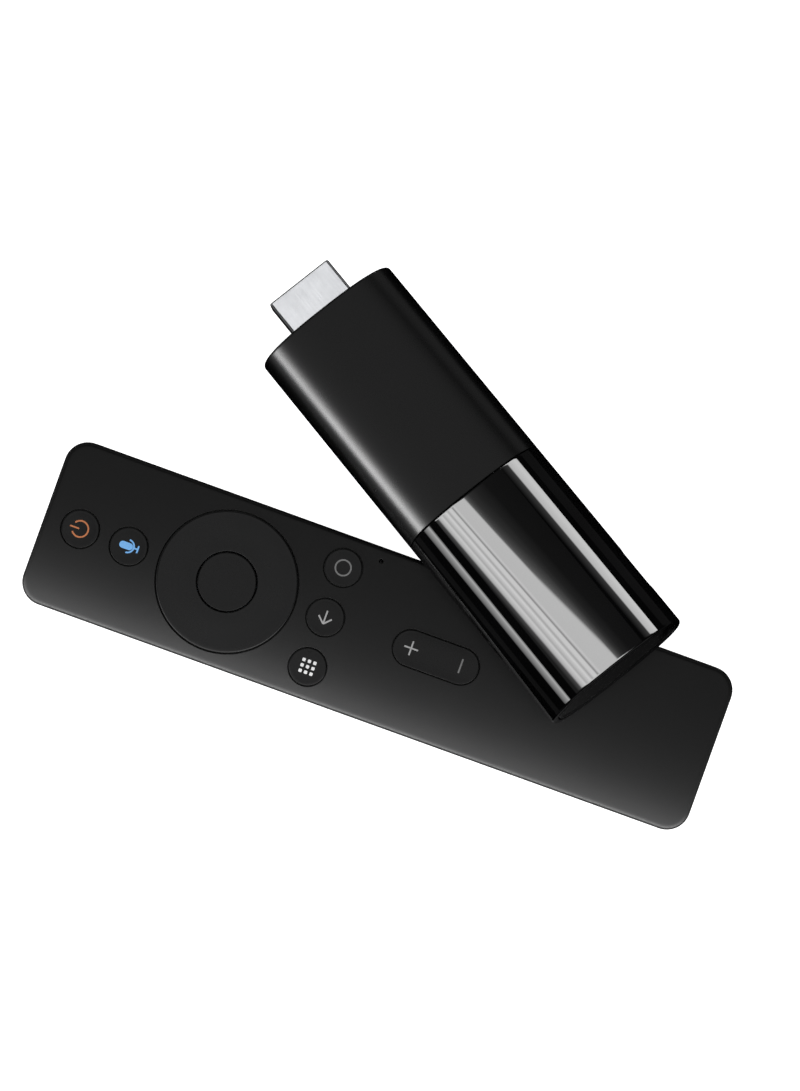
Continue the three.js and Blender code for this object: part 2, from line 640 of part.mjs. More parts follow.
function antenna() {
  const { x, y, length, width, height, sheet: thick, foot } = ANTENNA;
  const strip = plate(x, y, length, width, FACE + height, thick);
  const legX = x - (length - thick) / 2;
  const leg = plate(legX, y - (width - foot) / 2, thick, foot, FACE, height + BITE);
  return join(strip, leg);
}

place(stick, "stick_circuit_board", board(), MATERIAL.board);
place(stick, "shield_can", shieldCan(), MATERIAL.nickel);
place(stick, "processor_chip", above(...ON_PCB.processor), MATERIAL.chip);
place(stick, "memory_chip", above(...ON_PCB.memory), MATERIAL.chip);
place(stick, "stick_crystal", above(...ON_PCB.crystal), MATERIAL.steel);
place(stick, "power_inductor", above(...ON_PCB.inductor), MATERIAL.ferrite);
place(stick, "power_capacitor", above(...ON_PCB.capacitor), MATERIAL.ceramic);
place(stick, "status_led", above(...ON_PCB.led), MATERIAL.lens);
place(stick, "flash_chip", below(...UNDER_PCB.flash), MATERIAL.chip);
place(stick, "wireless_module", below(...UNDER_PCB.wireless), MATERIAL.nickel);

// The stack that carries heat from the processor to the sleeve.
const chipTop = FACE + CHIP;
const spreaderLow = CAN_TOP + HEAT_STACK.upper[4] + 2 * SLIP;
const layer = ([x, y, length, width, thick], low) => plate(x, y, length, width, low, thick);
place(stick, "processor_thermal_pad", layer(HEAT_STACK.lower, chipTop + SLIP), MATERIAL.pad);
place(stick, "spreader_thermal_pad", layer(HEAT_STACK.upper, CAN_TOP + SLIP), MATERIAL.pad);
place(stick, "heat_spreader", layer(HEAT_STACK.spreader, spreaderLow), MATERIAL.aluminium);
place(stick, "wireless_antenna", antenna(), MATERIAL.gold);

// ---------------------------------------------------------------- stick: power socket and status light
const INLET_BACK = INLET.depth - INLET.mouth - INLET.wall; // inside face of the socket's back wall

function inletShell() {
  const box = (inset, y0, y1) =>
    block(INLET.x - INLET.width / 2 + inset, INLET.x + INLET.width / 2 - inset, y0, y1,
      -INLET.thick / 2 + inset, INLET.thick / 2 - inset);
  const inside = box(INLET.wall, -INLET.mouth - PAST, INLET_BACK);
  return cut(box(0, -INLET.mouth, INLET.depth - INLET.mouth), inside);
}

function inletTongue() {
  const { baseHalf, baseLength, baseRise, half, low, high, setBack } = TONGUE;
  const root = INLET_BACK - SLIP;
  const front = root - baseLength;
  const base = block(INLET.x - baseHalf, INLET.x + baseHalf, front, root, -baseRise, baseRise);
  const tongue = block(INLET.x - half, INLET.x + half, setBack - INLET.mouth, front + BITE, low, high);
  return join(base, tongue);
}

place(stick, "power_socket_shell", inletShell(), MATERIAL.steel);
place(stick, "power_socket_tongue", inletTongue(), MATERIAL.insulator);
place(stick, "status_light_pipe", lightRod(LIGHT.radius, LIGHT.length), MATERIAL.lens);

export default set;
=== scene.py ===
"""The looks of a streaming media player: a stick with a video plug that leans on its remote control.

Shapes are made in millimetres and scaled to metres as they become pieces. The remote lies along X with its
underside at z = 0. The stick's pieces are made in its own frame, X to the plug, Y across and Z up.
"""
import json
import math

import bmesh
import bpy
from mathutils import Matrix, Vector

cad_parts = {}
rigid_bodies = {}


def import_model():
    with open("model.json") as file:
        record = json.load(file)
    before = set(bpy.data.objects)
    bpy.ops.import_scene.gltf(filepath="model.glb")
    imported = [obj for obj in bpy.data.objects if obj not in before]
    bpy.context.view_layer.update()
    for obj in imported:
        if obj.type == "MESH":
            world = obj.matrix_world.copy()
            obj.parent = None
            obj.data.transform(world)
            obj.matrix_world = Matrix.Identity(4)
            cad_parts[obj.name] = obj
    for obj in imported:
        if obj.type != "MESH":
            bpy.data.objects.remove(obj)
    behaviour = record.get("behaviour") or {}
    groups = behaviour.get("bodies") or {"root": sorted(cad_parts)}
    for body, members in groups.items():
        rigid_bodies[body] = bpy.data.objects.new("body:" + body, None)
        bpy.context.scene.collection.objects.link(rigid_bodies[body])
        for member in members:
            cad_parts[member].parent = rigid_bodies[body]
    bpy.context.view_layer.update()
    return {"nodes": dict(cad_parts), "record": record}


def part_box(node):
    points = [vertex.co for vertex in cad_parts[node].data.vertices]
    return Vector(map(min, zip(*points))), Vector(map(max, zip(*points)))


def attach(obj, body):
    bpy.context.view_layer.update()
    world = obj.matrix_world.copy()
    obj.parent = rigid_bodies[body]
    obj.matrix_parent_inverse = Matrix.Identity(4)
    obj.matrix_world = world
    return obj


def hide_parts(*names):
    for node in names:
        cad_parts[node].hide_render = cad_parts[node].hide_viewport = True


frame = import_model()

# ---- sizes in millimetres
MM = 0.001
X_AXIS = Vector((1, 0, 0))
CORNER = 4.45  # radius of the remote's outline at its corners
WALL = 1.3
TOP_EDGE = 0.9
COVER_CORNER = ((0.5, 0), (0.15, 0.1), (0, 0.5))  # (inset, drop) inside the cover, from ceiling to wall
BELLY_EDGE = 3.5
FLOOR_CORNER = 0.8  # inside the case, between its wall and its floor
PARTING = 9.6  # height of the seam between case and cover
PARTING_EDGE = 0.12
LIP = {"outer": 1.5, "inner": 2.15, "low": 8.0, "high": 10.8}
SCREW_BOSS = {"radius": 1.8, "bore": 0.75, "low": 9.55}
KEY = {"flange": 0.75, "gap": 0.15, "edge": 0.22, "dish": 0.16, "under": 0.7}
DPAD = {"gap": 0.18, "ok_gap": 0.24, "flange_rise": 0.3, "edge": 0.35, "ok_edge": 0.12, "dish": 0.14}
HOLE_EDGE = 0.1
ROCKER = {"half": 4.9, "radius": 3.45, "flange": 0.5, "flange_rise": 0.2, "rise": 2.25, "fulcrum": 0.5,
          "stem": 2, "stem_radius": 1.2, "stem_low": 11.4}
MICROPHONE_HOLE = {"radius": 0.4, "from_edge": 2.55}
DOOR = {"half": 12.1, "rail": 12.9, "low": 0.75, "thick": 1.2, "gap": 0.2, "tongue": 1.8, "tab": 4.0}
GRIP = {"count": 7, "pitch": 1.5, "radius": 0.45, "half": 5.5, "first": 3.5, "depth": 0.28, "curve": 0.405}
RIB_PLACES = (-60.2, -44.6, -14.5, 8.7)
RIB_HALF = 0.6
PAST = 1  # how far a cutting shape passes the face that it cuts
BITE = 0.1  # how far one shape runs into another that it joins
BAY = {"left": 17, "half": 11.3, "rail": 1, "wall_high": 10.5}
CELL = {"wrapper": 0.08, "nub": 1.9, "rise": 0.8, "bare": 0.9}
SPRING = {"plate": 0.3, "wire": 0.4, "rise": 1.3, "turns": 2.5, "wide": 3.2, "narrow": 1.8}

STICK_POWER = 2.5  # exponent of the stick's oval section
SLEEVE_WALL = 1.4
SEAM = 0.2
CAP_INSET = SLEEVE_WALL + SEAM
CAP_EDGE = 0.2
PLUG = {"wall": 0.35, "corner": 0.6, "lip": 0.3}
SOCKET = {"wall": 0.3, "corner": 0.75, "clear": 0.6, "flare": 0.35, "opening_corner": 1.1}
INTO_SIDE = 4  # how deep the openings for the socket and the light are cut from the stick's side
PIPE_RADIUS = 0.7

ROUND = 96  # segments round a key
OVAL = 216  # segments round the stick
ARC = 12  # segments in a rounded corner
FILLET = 7  # segments across a rounded edge
MERGE = 1e-4  # points nearer than this become one
CREASE = 32  # degrees beyond which an edge stays sharp


def box_mm(node):
    low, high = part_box(node)
    return low / MM, high / MM


def middle(node):
    low, high = box_mm(node)
    return (low + high) / 2


cover_low, cover_high = box_mm("remote_top_cover")
LENGTH = cover_high.x - cover_low.x
WIDTH = cover_high.y - cover_low.y
HEIGHT = cover_high.z
CEILING = HEIGHT - WALL

# ---- the stick's own frame
MOUNTS = {mount["name"]: mount for mount in frame["record"]["mounts"]}
STICK_X = Vector(MOUNTS["plug_shoulder"]["axis"]).normalized()
STICK_Y = -Vector(MOUNTS["power_inlet"]["axis"]).normalized()
STICK_Z = STICK_X.cross(STICK_Y).normalized()
TO_STICK = Matrix((STICK_X, STICK_Y, STICK_Z))


def stick_box(*nodes):
    """Lowest and highest corner of these nodes along the stick's axes, in millimetres."""
    points = [TO_STICK @ v.co / MM for node in nodes for v in frame["nodes"][node].data.vertices]
    return [Vector(pick(p[axis] for p in points) for axis in range(3)) for pick in (min, max)]


sleeves_low, sleeves_high = stick_box("matte_sleeve", "gloss_sleeve")
STICK_MIDDLE = (sleeves_low + sleeves_high) / 2
STICK_LENGTH, STICK_WIDTH, STICK_THICK = sleeves_high - sleeves_low
END = STICK_LENGTH / 2
STICK = Matrix.Translation(TO_STICK.transposed() @ STICK_MIDDLE * MM) @ TO_STICK.transposed().to_4x4()


def local_box(node):
    """Lowest and highest corner of a stick node in the stick's own frame."""
    return [corner - STICK_MIDDLE for corner in stick_box(node)]


ALONG_X = Matrix(((0, 0, 1, 0), (1, 0, 0, 0), (0, 1, 0, 0), (0, 0, 0, 1)))  # a shape's height lies along X
ALONG_Y = Matrix(((1, 0, 0, 0), (0, 0, -1, 0), (0, 1, 0, 0), (0, 0, 0, 1)))  # a shape's height runs to -Y


# ---- mesh making
def mesh_of(points, faces):
    mesh = bpy.data.meshes.new("shape")
    mesh.from_pydata(points, [], faces)
    shape = bmesh.new()
    shape.from_mesh(mesh)
    bmesh.ops.remove_doubles(shape, verts=shape.verts, dist=MERGE)
    bmesh.ops.recalc_face_normals(shape, faces=shape.faces)
    shape.to_mesh(mesh)
    shape.free()
    return mesh


def loft(rings, closed=False):
    """A solid through rings of equally many points, with flat ends unless it closes on itself."""
    count = len(rings[0])
    faces = []
    for k in range(len(rings) if closed else len(rings) - 1):
        here = k * count
        there = (k + 1) % len(rings) * count
        for i in range(count):
            j = (i + 1) % count
            faces.append((here + i, here + j, there + j, there + i))
    if not closed:
        faces.append(tuple(reversed(range(count))))
        faces.append(tuple(range(count * (len(rings) - 1), count * len(rings))))
    return mesh_of([point for ring in rings for point in ring], faces)


def lathe(profile, x=0.0, y=0.0, closed=False, segments=ROUND):
    """A solid of revolution about the upright line through (x, y), from a profile of (radius, z)."""
    turns = [2 * math.pi * k / segments for k in range(segments)]
    rings = [[(x + r * math.cos(a), y + r * math.sin(a), z) for a in turns] for r, z in profile]
    return loft(rings, closed)


def tube(inner, outer, low, high, x, y, segments=ROUND):
    """An upright ring between two radii and two heights."""
    profile = [(inner, low), (outer, low), (outer, high), (inner, high)]
    return lathe(profile, x, y, closed=True, segments=segments)


def block(low, high, bevel=0.0):
    """A box between two corners, with its edges rounded by bevel."""
    shape = bmesh.new()
    size = Vector(high) - Vector(low)
    place = Matrix.Translation((Vector(low) + Vector(high)) / 2) @ Matrix.Diagonal((*size, 1))
    bmesh.ops.create_cube(shape, size=1, matrix=place)
    if bevel:
        bmesh.ops.bevel(shape, geom=shape.edges[:], offset=bevel, segments=3, profile=0.5, affect="EDGES")
    mesh = bpy.data.meshes.new("block")
    shape.to_mesh(mesh)
    shape.free()
    return mesh


def moved(mesh, matrix):
    mesh.transform(matrix)
    return mesh


def linked(name, data):
    """A new object in the scene."""
    obj = bpy.data.objects.new(name, data)
    bpy.context.scene.collection.objects.link(obj)
    return obj


def combined(mesh, tools, operation):
    """The mesh after a boolean operation with each tool in turn."""
    holder = linked("holder", mesh)
    helpers = [linked("tool", tool) for tool in tools]
    for helper in helpers:
        modifier = holder.modifiers.new("boolean", "BOOLEAN")
        modifier.operation = operation
        modifier.object = helper
        modifier.solver = "EXACT"
    depsgraph = bpy.context.evaluated_depsgraph_get()
    result = bpy.data.meshes.new_from_object(holder.evaluated_get(depsgraph))
    for obj in (holder, *helpers):
        bpy.data.objects.remove(obj)
    return result


def cut(mesh, *tools):
    return combined(mesh, tools, "DIFFERENCE")


def join(mesh, *tools):
    return combined(mesh, tools, "UNION")


def together(*meshes):
    """Separate solids as one mesh."""
    shape = bmesh.new()
    for mesh in meshes:
        shape.from_mesh(mesh)
    result = bpy.data.meshes.new("group")
    shape.to_mesh(result)
    shape.free()
    return result


def piece(name, mesh, body, material, replaces=(), place=None, weighted=True):
    """Makes a mesh in millimetres into a piece that rides on a body."""
    mesh.transform(Matrix.Scale(MM, 4))
    mesh.shade_smooth()
    mesh.set_sharp_from_angle(angle=math.radians(CREASE))
    obj = linked(name, mesh)
    mesh.materials.clear()
    mesh.materials.append(material)
    obj.matrix_world = place or Matrix.Identity(4)
    if weighted:
        normals = obj.modifiers.new("weighted_normals", "WEIGHTED_NORMAL")
        normals.keep_sharp = True
    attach(obj, body)
    if replaces:
        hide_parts(*replaces)


def stick_piece(node, mesh, material, weighted=True):
    """A piece that takes the place of one of the stick's nodes."""
    piece(f"{node}_fine", mesh, "stick", material, [node], place=STICK, weighted=weighted)


# ---- outlines and edges
def rounded_ring(length, width, corner, z, steps=ARC):
    """The outline of a rounded rectangle about the origin, at height z."""
    half_x = length / 2 - corner
    half_y = width / 2 - corner
    ring = []
    for quarter, (side_x, side_y) in enumerate(((1, 1), (-1, 1), (-1, -1), (1, -1))):
        for k in range(steps + 1):
            angle = math.pi / 2 * (quarter + k / steps)
            x = side_x * half_x + corner * math.cos(angle)
            ring.append((x, side_y * half_y + corner * math.sin(angle), z))
    return ring


def remote_ring(inset, z):
    return rounded_ring(LENGTH - 2 * inset, WIDTH - 2 * inset, CORNER - inset, z)


def fillet(radius, wall, face, steps=FILLET):
    """Levels (inset, z) round an edge, from the upright wall at z = wall to the flat face at z = face."""
    angles = [math.pi / 2 * k / steps for k in range(steps + 1)]
    return [(radius * (1 - math.cos(a)), wall + (face - wall) * math.sin(a)) for a in angles]


def rounded_edge(radius, top, edge, side):
    """Profile (radius, z) of the edge up to the face at z = top, of a hole (side 1) or a key (side -1)."""
    return [(radius + side * inset, z) for inset, z in fillet(edge, top - edge, top)]


def pill_ring(middle_x, half, radius, z):
    """Two half circles joined by straight sides."""
    ring = []
    for k in range(ROUND):
        angle = 2 * math.pi * (k + 0.5) / ROUND
        end = middle_x + math.copysign(half, math.cos(angle))
        ring.append((end + radius * math.cos(angle), radius * math.sin(angle), z))
    return ring


def oval_ring(inset, x):
    """The stick's section at x, drawn in by inset all round."""
    ring = []
    for k in range(OVAL):
        angle = 2 * math.pi * k / OVAL
        across, up = (math.copysign(abs(v) ** (2 / STICK_POWER), v)
                      for v in (math.cos(angle), math.sin(angle)))
        ring.append((x, (STICK_WIDTH / 2 - inset) * across, (STICK_THICK / 2 - inset) * up))
    return ring


# ---- materials
def tree_of(name, colour, roughness, metallic=0.0, **sockets):
    """A new principled material; returns it with its node tree and shader."""
    material = bpy.data.materials.new(name)
    material.use_nodes = True
    shader = material.node_tree.nodes["Principled BSDF"]
    shader.inputs["Base Color"].default_value = (*colour, 1)
    shader.inputs["Roughness"].default_value = roughness
    shader.inputs["Metallic"].default_value = metallic
    for socket, value in sockets.items():
        shader.inputs[socket.replace("_", " ")].default_value = value
    return material, material.node_tree, shader


def add_node(tree, kind):
    return tree.nodes.new(f"ShaderNode{kind}")


def texture(tree, kind, size, stretch=(1, 1, 1), **inputs):
    """A texture in object coordinates whose features are about size millimetres."""
    source = add_node(tree, "TexCoord")
    mapping = add_node(tree, "Mapping")
    mapping.inputs["Scale"].default_value = [1 / (MM * size * s) for s in stretch]
    node = add_node(tree, f"Tex{kind}")
    for name, value in inputs.items():
        node.inputs[name.replace("_", " ")].default_value = value
    if "Scale" in node.inputs:
        node.inputs["Scale"].default_value = 1
    tree.links.new(source.outputs["Object"], mapping.inputs["Vector"])
    tree.links.new(mapping.outputs["Vector"], node.inputs["Vector"])
    return node


def vary(tree, shader, noise, low, high):
    """Drives the roughness by a noise texture."""
    spread = add_node(tree, "MapRange")
    spread.inputs["To Min"].default_value = low
    spread.inputs["To Max"].default_value = high
    tree.links.new(noise.outputs["Fac"], spread.inputs["Value"])
    tree.links.new(spread.outputs["Result"], shader.inputs["Roughness"])


def ramp(tree, factor, stops, socket, interpolation="LINEAR"):
    """Drives a colour by a texture, through stops (place, colour)."""
    node = add_node(tree, "ValToRGB")
    node.color_ramp.interpolation = interpolation
    while len(node.color_ramp.elements) < len(stops):
        node.color_ramp.elements.new(0.5)
    for element, (place, colour) in zip(node.color_ramp.elements, stops):
        element.position = place
        element.color = (*colour, 1)
    tree.links.new(factor, node.inputs["Fac"])
    tree.links.new(node.outputs["Color"], socket)


def bump(tree, shader, height, depth):
    node = add_node(tree, "Bump")
    node.inputs["Distance"].default_value = depth * MM
    node.inputs["Strength"].default_value = 1.0
    tree.links.new(height, node.inputs["Height"])
    tree.links.new(node.outputs["Normal"], shader.inputs["Normal"])


def shade(colour, factor):
    return tuple(channel * factor for channel in colour)


def mottle(tree, shader, colour, size, dark, pale, detail=3.0):
    """Clouds of a darker and a paler tone in the base colour."""
    cloud = texture(tree, "Noise", size, Detail=detail)
    stops = ((0.3, shade(colour, dark)), (0.7, shade(colour, pale)))
    ramp(tree, cloud.outputs["Fac"], stops, shader.inputs["Base Color"])


def moulded(name, colour, roughness, grain=0.16, depth=0.004, handling=0.04, **sockets):
    """Moulded plastic: a fine spark-eroded grain, with slight handling marks in its sheen."""
    material, tree, shader = tree_of(name, colour, roughness, **sockets)
    marks = texture(tree, "Noise", 9, Detail=4.0, Roughness=0.6)
    vary(tree, shader, marks, roughness - handling, roughness + handling)
    mottle(tree, shader, colour, 0.5, 0.88, 1.12)
    fine = texture(tree, "Noise", grain, Detail=2.0)
    bump(tree, shader, fine.outputs["Fac"], depth)
    return material


def piano_black(name):
    """Polished black plastic with a few hairline scratches."""
    material, tree, shader = tree_of(name, (0.0008, 0.0008, 0.0009), 0.02, IOR=1.52)
    hair = texture(tree, "Noise", 0.5, stretch=(40, 0.6, 0.6), Detail=3.0)
    vary(tree, shader, hair, 0.01, 0.035)
    smudge = texture(tree, "Noise", 14, Detail=3.0)
    stops = ((0.35, (0.0006, 0.0006, 0.0006)), (0.7, (0.0011, 0.0011, 0.0012)))
    ramp(tree, smudge.outputs["Fac"], stops, shader.inputs["Base Color"])
    return material


def metal(name, colour, roughness, brush=(1, 1, 1)):
    """Plated or rolled metal, with a brushed or fine-grained surface."""
    material, tree, shader = tree_of(name, colour, roughness, metallic=1.0)
    grain = texture(tree, "Noise", 0.25, stretch=brush, Detail=4.0, Roughness=0.65)
    vary(tree, shader, grain, roughness - 0.06, roughness + 0.06)
    mottle(tree, shader, colour, 4, 0.9, 1.06)
    bump(tree, shader, grain.outputs["Fac"], 0.002)
    return material


def printed(name, colour):
    """Printing ink on a key, a little uneven."""
    material, tree, shader = tree_of(name, colour, 0.45)
    ink = texture(tree, "Noise", 0.35, Detail=3.0)
    ramp(tree, ink.outputs["Fac"], ((0.25, shade(colour, 0.85)), (0.6, colour)), shader.inputs["Base Color"])
    return material


def rubbery(name, colour, roughness):
    material, tree, shader = tree_of(name, colour, roughness, Subsurface_Weight=0.1, Subsurface_Scale=MM)
    mottle(tree, shader, colour, 2.5, 0.85, 1.15, detail=4.0)
    grain = texture(tree, "Noise", 0.2, Detail=2.0)
    bump(tree, shader, grain.outputs["Fac"], 0.01)
    return material


def board_material(name):
    """Green solder mask over copper tracks, with plated holes."""
    material, tree, shader = tree_of(name, (0.01, 0.06, 0.03), 0.35, Coat_Weight=0.4)
    tracks = texture(tree, "Brick", 2.2, stretch=(1, 0.35, 1))
    tracks.offset = 0.37
    tracks.inputs["Mortar Size"].default_value = 0.04
    tracks.inputs["Color1"].default_value = (0.008, 0.050, 0.026, 1)
    tracks.inputs["Color2"].default_value = (0.010, 0.062, 0.030, 1)
    tracks.inputs["Mortar"].default_value = (0.030, 0.130, 0.060, 1)
    holes = texture(tree, "Voronoi", 2.4, Randomness=0.6)
    mix = add_node(tree, "MixRGB")
    plated = add_node(tree, "Math")
    plated.operation = "LESS_THAN"
    plated.inputs[1].default_value = 0.1
    tree.links.new(holes.outputs["Distance"], plated.inputs[0])
    tree.links.new(plated.outputs["Value"], mix.inputs["Fac"])
    tree.links.new(tracks.outputs["Color"], mix.inputs["Color1"])
    mix.inputs["Color2"].default_value = (0.55, 0.42, 0.18, 1)
    tree.links.new(mix.outputs["Color"], shader.inputs["Base Color"])
    bump(tree, shader, tracks.outputs["Fac"], 0.03)
    return material


def chip_material(name):
    """Moulded epoxy: black with fine pale filler."""
    material, tree, shader = tree_of(name, (0.01, 0.01, 0.011), 0.5)
    filler = texture(tree, "Voronoi", 0.12)
    stops = ((0.0, (0.035, 0.035, 0.036)), (0.3, (0.01, 0.01, 0.011)))
    ramp(tree, filler.outputs["Distance"], stops, shader.inputs["Base Color"])
    bump(tree, shader, filler.outputs["Distance"], 0.006)
    return material


def clear_material(name):
    material, tree, shader = tree_of(name, (0.9, 0.93, 0.95), 0.12, Transmission_Weight=0.7, IOR=1.49)
    cloud = texture(tree, "Noise", 0.6, Detail=2.0)
    vary(tree, shader, cloud, 0.08, 0.25)
    return material


def label_material(name):
    """The printed wrapper of a cell: a dark body with a pale band at its positive end."""
    material, tree, shader = tree_of(name, (0.03, 0.08, 0.18), 0.3, Coat_Weight=0.5)
    source = add_node(tree, "TexCoord")
    split = add_node(tree, "SeparateXYZ")
    tree.links.new(source.outputs["Generated"], split.inputs["Vector"])
    stops = ((0.0, (0.35, 0.37, 0.40)), (0.22, (0.03, 0.08, 0.18)), (0.9, (0.35, 0.37, 0.40)))
    ramp(tree, split.outputs["X"], stops, shader.inputs["Base Color"], "CONSTANT")
    sheen = texture(tree, "Noise", 5, Detail=3.0)
    vary(tree, shader, sheen, 0.24, 0.38)
    return material


REMOTE_BLACK = moulded("remote_black", (0.0024, 0.0024, 0.0025), 0.46)
KEY_BLACK = moulded("key_black", (0.0040, 0.0040, 0.0042), 0.28, grain=0.2, depth=0.003)
MATTE_BLACK = moulded("matte_black", (0.0012, 0.0012, 0.0013), 0.27, grain=0.12, depth=0.001, handling=0.02)
GLOSS_BLACK = piano_black("gloss_black")
CARRIER_GREY = moulded("carrier_grey", (0.03, 0.03, 0.032), 0.6)
SILICONE = rubbery("grey_silicone", (0.045, 0.045, 0.05), 0.75)
THERMAL_PAD = rubbery("thermal_pad", (0.25, 0.30, 0.36), 0.85)
BOARD_GREEN = board_material("board_green")
CHIP_BLACK = chip_material("chip_black")
PLUG_STEEL = metal("plug_steel", (0.66, 0.67, 0.69), 0.30, brush=(30, 1, 1))
NICKEL = metal("nickel_plate", (0.55, 0.55, 0.56), 0.32)
ALUMINIUM = metal("rolled_aluminium", (0.55, 0.56, 0.57), 0.42, brush=(20, 1, 1))
GOLD = metal("gold_plate", (0.75, 0.50, 0.20), 0.26)
INSULATOR = moulded("insulator_black", (0.012, 0.012, 0.012), 0.5)
FERRITE = moulded("ferrite_grey", (0.04, 0.04, 0.042), 0.7, grain=0.3, depth=0.02)
CERAMIC = moulded("ceramic_tan", (0.33, 0.22, 0.12), 0.5)
CLEAR = clear_material("clear_lens")
LABEL = label_material("battery_wrapper")
INK = {
    "orange": printed("orange_ink", (0.36, 0.115, 0.035)),
    "blue": printed("blue_ink", (0.11, 0.30, 0.58)),
    "grey": printed("grey_ink", (0.13, 0.13, 0.13)),
    "pale": printed("pale_ink", (0.25, 0.25, 0.25)),
    "white": printed("white_ink", (0.42, 0.42, 0.42)),
}

# CAD nodes that keep their shape, by the finish that they get.
KEPT = {
    BOARD_GREEN: ("remote_circuit_board", "stick_circuit_board"),
    NICKEL: ("dome_switch_sheet", "microphone", "shield_can", "wireless_module", "positive_contact"),
    PLUG_STEEL: ("remote_crystal", "stick_crystal", *(f"board_screw_{k}" for k in range(1, 5))),
    CHIP_BLACK: ("radio_chip", "processor_chip", "memory_chip", "flash_chip"),
    SILICONE: ("keypad_mat", "dpad_pad"),
    THERMAL_PAD: ("processor_thermal_pad", "spreader_thermal_pad"),
    ALUMINIUM: ("heat_spreader",),
    FERRITE: ("power_inductor",),
    CERAMIC: ("remote_capacitor", "power_capacitor"),
    GOLD: ("video_contacts_upper", "video_contacts_lower", "wireless_antenna"),
    INSULATOR: ("video_plug_core", "power_socket_tongue"),
    CLEAR: ("status_led", "status_light_pipe"),
    CARRIER_GREY: ("carrier_frame",),
}
for material, nodes in KEPT.items():
    for node in nodes:
        frame["nodes"][node].data.materials.clear()
        frame["nodes"][node].data.materials.append(material)


# ---- remote: casings
KEYS = ("power_button", "voice_button", "home_button", "back_button", "apps_button")
ROCKER_X = middle("volume_rocker").x
SCREWS = [middle(f"board_screw_{k}") for k in range(1, 5)]


def half_length(node):
    low, high = box_mm(node)
    return (high.x - low.x) / 2


def key_radius(node):
    return half_length(node) - KEY["flange"]


def round_cutter(x, y, radius):
    """A hole through the cover with a rounded upper edge."""
    open_radius = radius + HOLE_EDGE
    below = [(0, CEILING - PAST), (radius, CEILING - PAST)]
    above = [(open_radius, HEIGHT + PAST), (0, HEIGHT + PAST)]
    return lathe([*below, *rounded_edge(radius, HEIGHT, HOLE_EDGE, 1), *above], x, y)


def rocker_cutter():
    radius = ROCKER["radius"] + KEY["gap"]
    rounded = rounded_edge(radius, HEIGHT, HOLE_EDGE, 1)
    levels = [(radius, CEILING - PAST), *rounded, (radius + HOLE_EDGE, HEIGHT + PAST)]
    return loft([pill_ring(ROCKER_X, ROCKER["half"], *level) for level in levels])


def top_cover():
    seam = PARTING + SEAM
    levels = [
        *((WALL + inset, CEILING - drop) for inset, drop in COVER_CORNER),
        (WALL, seam),
        (PARTING_EDGE, seam),
        (0, seam + PARTING_EDGE),
        *fillet(TOP_EDGE, HEIGHT - TOP_EDGE, HEIGHT),
        (TOP_EDGE + 0.4, HEIGHT),
    ]
    shell = loft([remote_ring(*level) for level in levels])
    bore, radius, low = (SCREW_BOSS[size] for size in ("bore", "radius", "low"))
    high = CEILING + 2 * BITE
    bosses = [tube(bore, radius, low, high, screw.x, screw.y, 32) for screw in SCREWS]
    holes = [round_cutter(middle(key).x, middle(key).y, key_radius(key) + KEY["gap"]) for key in KEYS]
    dpad = middle("dpad_ring")
    holes.append(round_cutter(dpad.x, dpad.y, key_radius("dpad_ring") + DPAD["gap"]))
    microphone_y = WIDTH / 2 - MICROPHONE_HOLE["from_edge"]
    holes.append(round_cutter(middle("microphone").x, microphone_y, MICROPHONE_HOLE["radius"]))
    return cut(join(shell, *bosses), *holes, rocker_cutter())


def door_space(gap):
    """The boxes that the battery door fills, or with a gap the opening that it lies in."""
    low, _ = box_mm("battery_door")
    left = low.x + DOOR["tongue"]
    under = DOOR["low"] - gap
    top = DOOR["thick"] + gap
    return (
        block((left - gap, -DOOR["half"] - gap, -PAST), (LENGTH, DOOR["half"] + gap, top)),
        block((left - gap, -DOOR["rail"] - gap, under), (LENGTH, DOOR["rail"] + gap, top)),
        block((low.x - gap, -DOOR["tab"] - gap, under), (left + PAST, DOOR["tab"] + gap, top)),
    )


BELLY = [(BELLY_EDGE + 0.4, 0), *reversed(fillet(BELLY_EDGE, BELLY_EDGE, 0, 12))]


def bottom_case():
    edge = PARTING_EDGE
    outer, inner, lip_low, lip_high = (LIP[size] for size in ("outer", "inner", "low", "high"))
    levels = [
        *BELLY,
        (0, PARTING - edge),
        (edge, PARTING),
        (outer, PARTING),
        (outer, lip_high - edge),
        (outer + edge, lip_high),
        (inner - edge, lip_high),
        (inner, lip_high - edge),
        (inner, lip_low),
        (WALL, lip_low - WALL),
        (WALL, WALL + FLOOR_CORNER),
        (WALL + FLOOR_CORNER, WALL),
    ]
    shell = loft([remote_ring(*level) for level in levels])
    into = WALL - 3 * BITE
    rib_top = box_mm("remote_circuit_board")[0].z - BITE
    side = WIDTH / 2 - into
    ribs = [block((x - RIB_HALF, -side, into), (x + RIB_HALF, side, rib_top)) for x in RIB_PLACES]
    left, half, rail = BAY["left"], BAY["half"], BAY["rail"]
    wall_side = WIDTH / 2 - outer - BITE
    bay_wall = block((left - rail, -wall_side, into), (left, wall_side, BAY["wall_high"]))
    rails = [block((left - rail / 2, near, into), (LENGTH / 2 - into, near + rail, PARTING - SEAM))
             for near in (half, -half - rail)]
    return cut(join(shell, *ribs, bay_wall, *rails), *door_space(DOOR["gap"]))


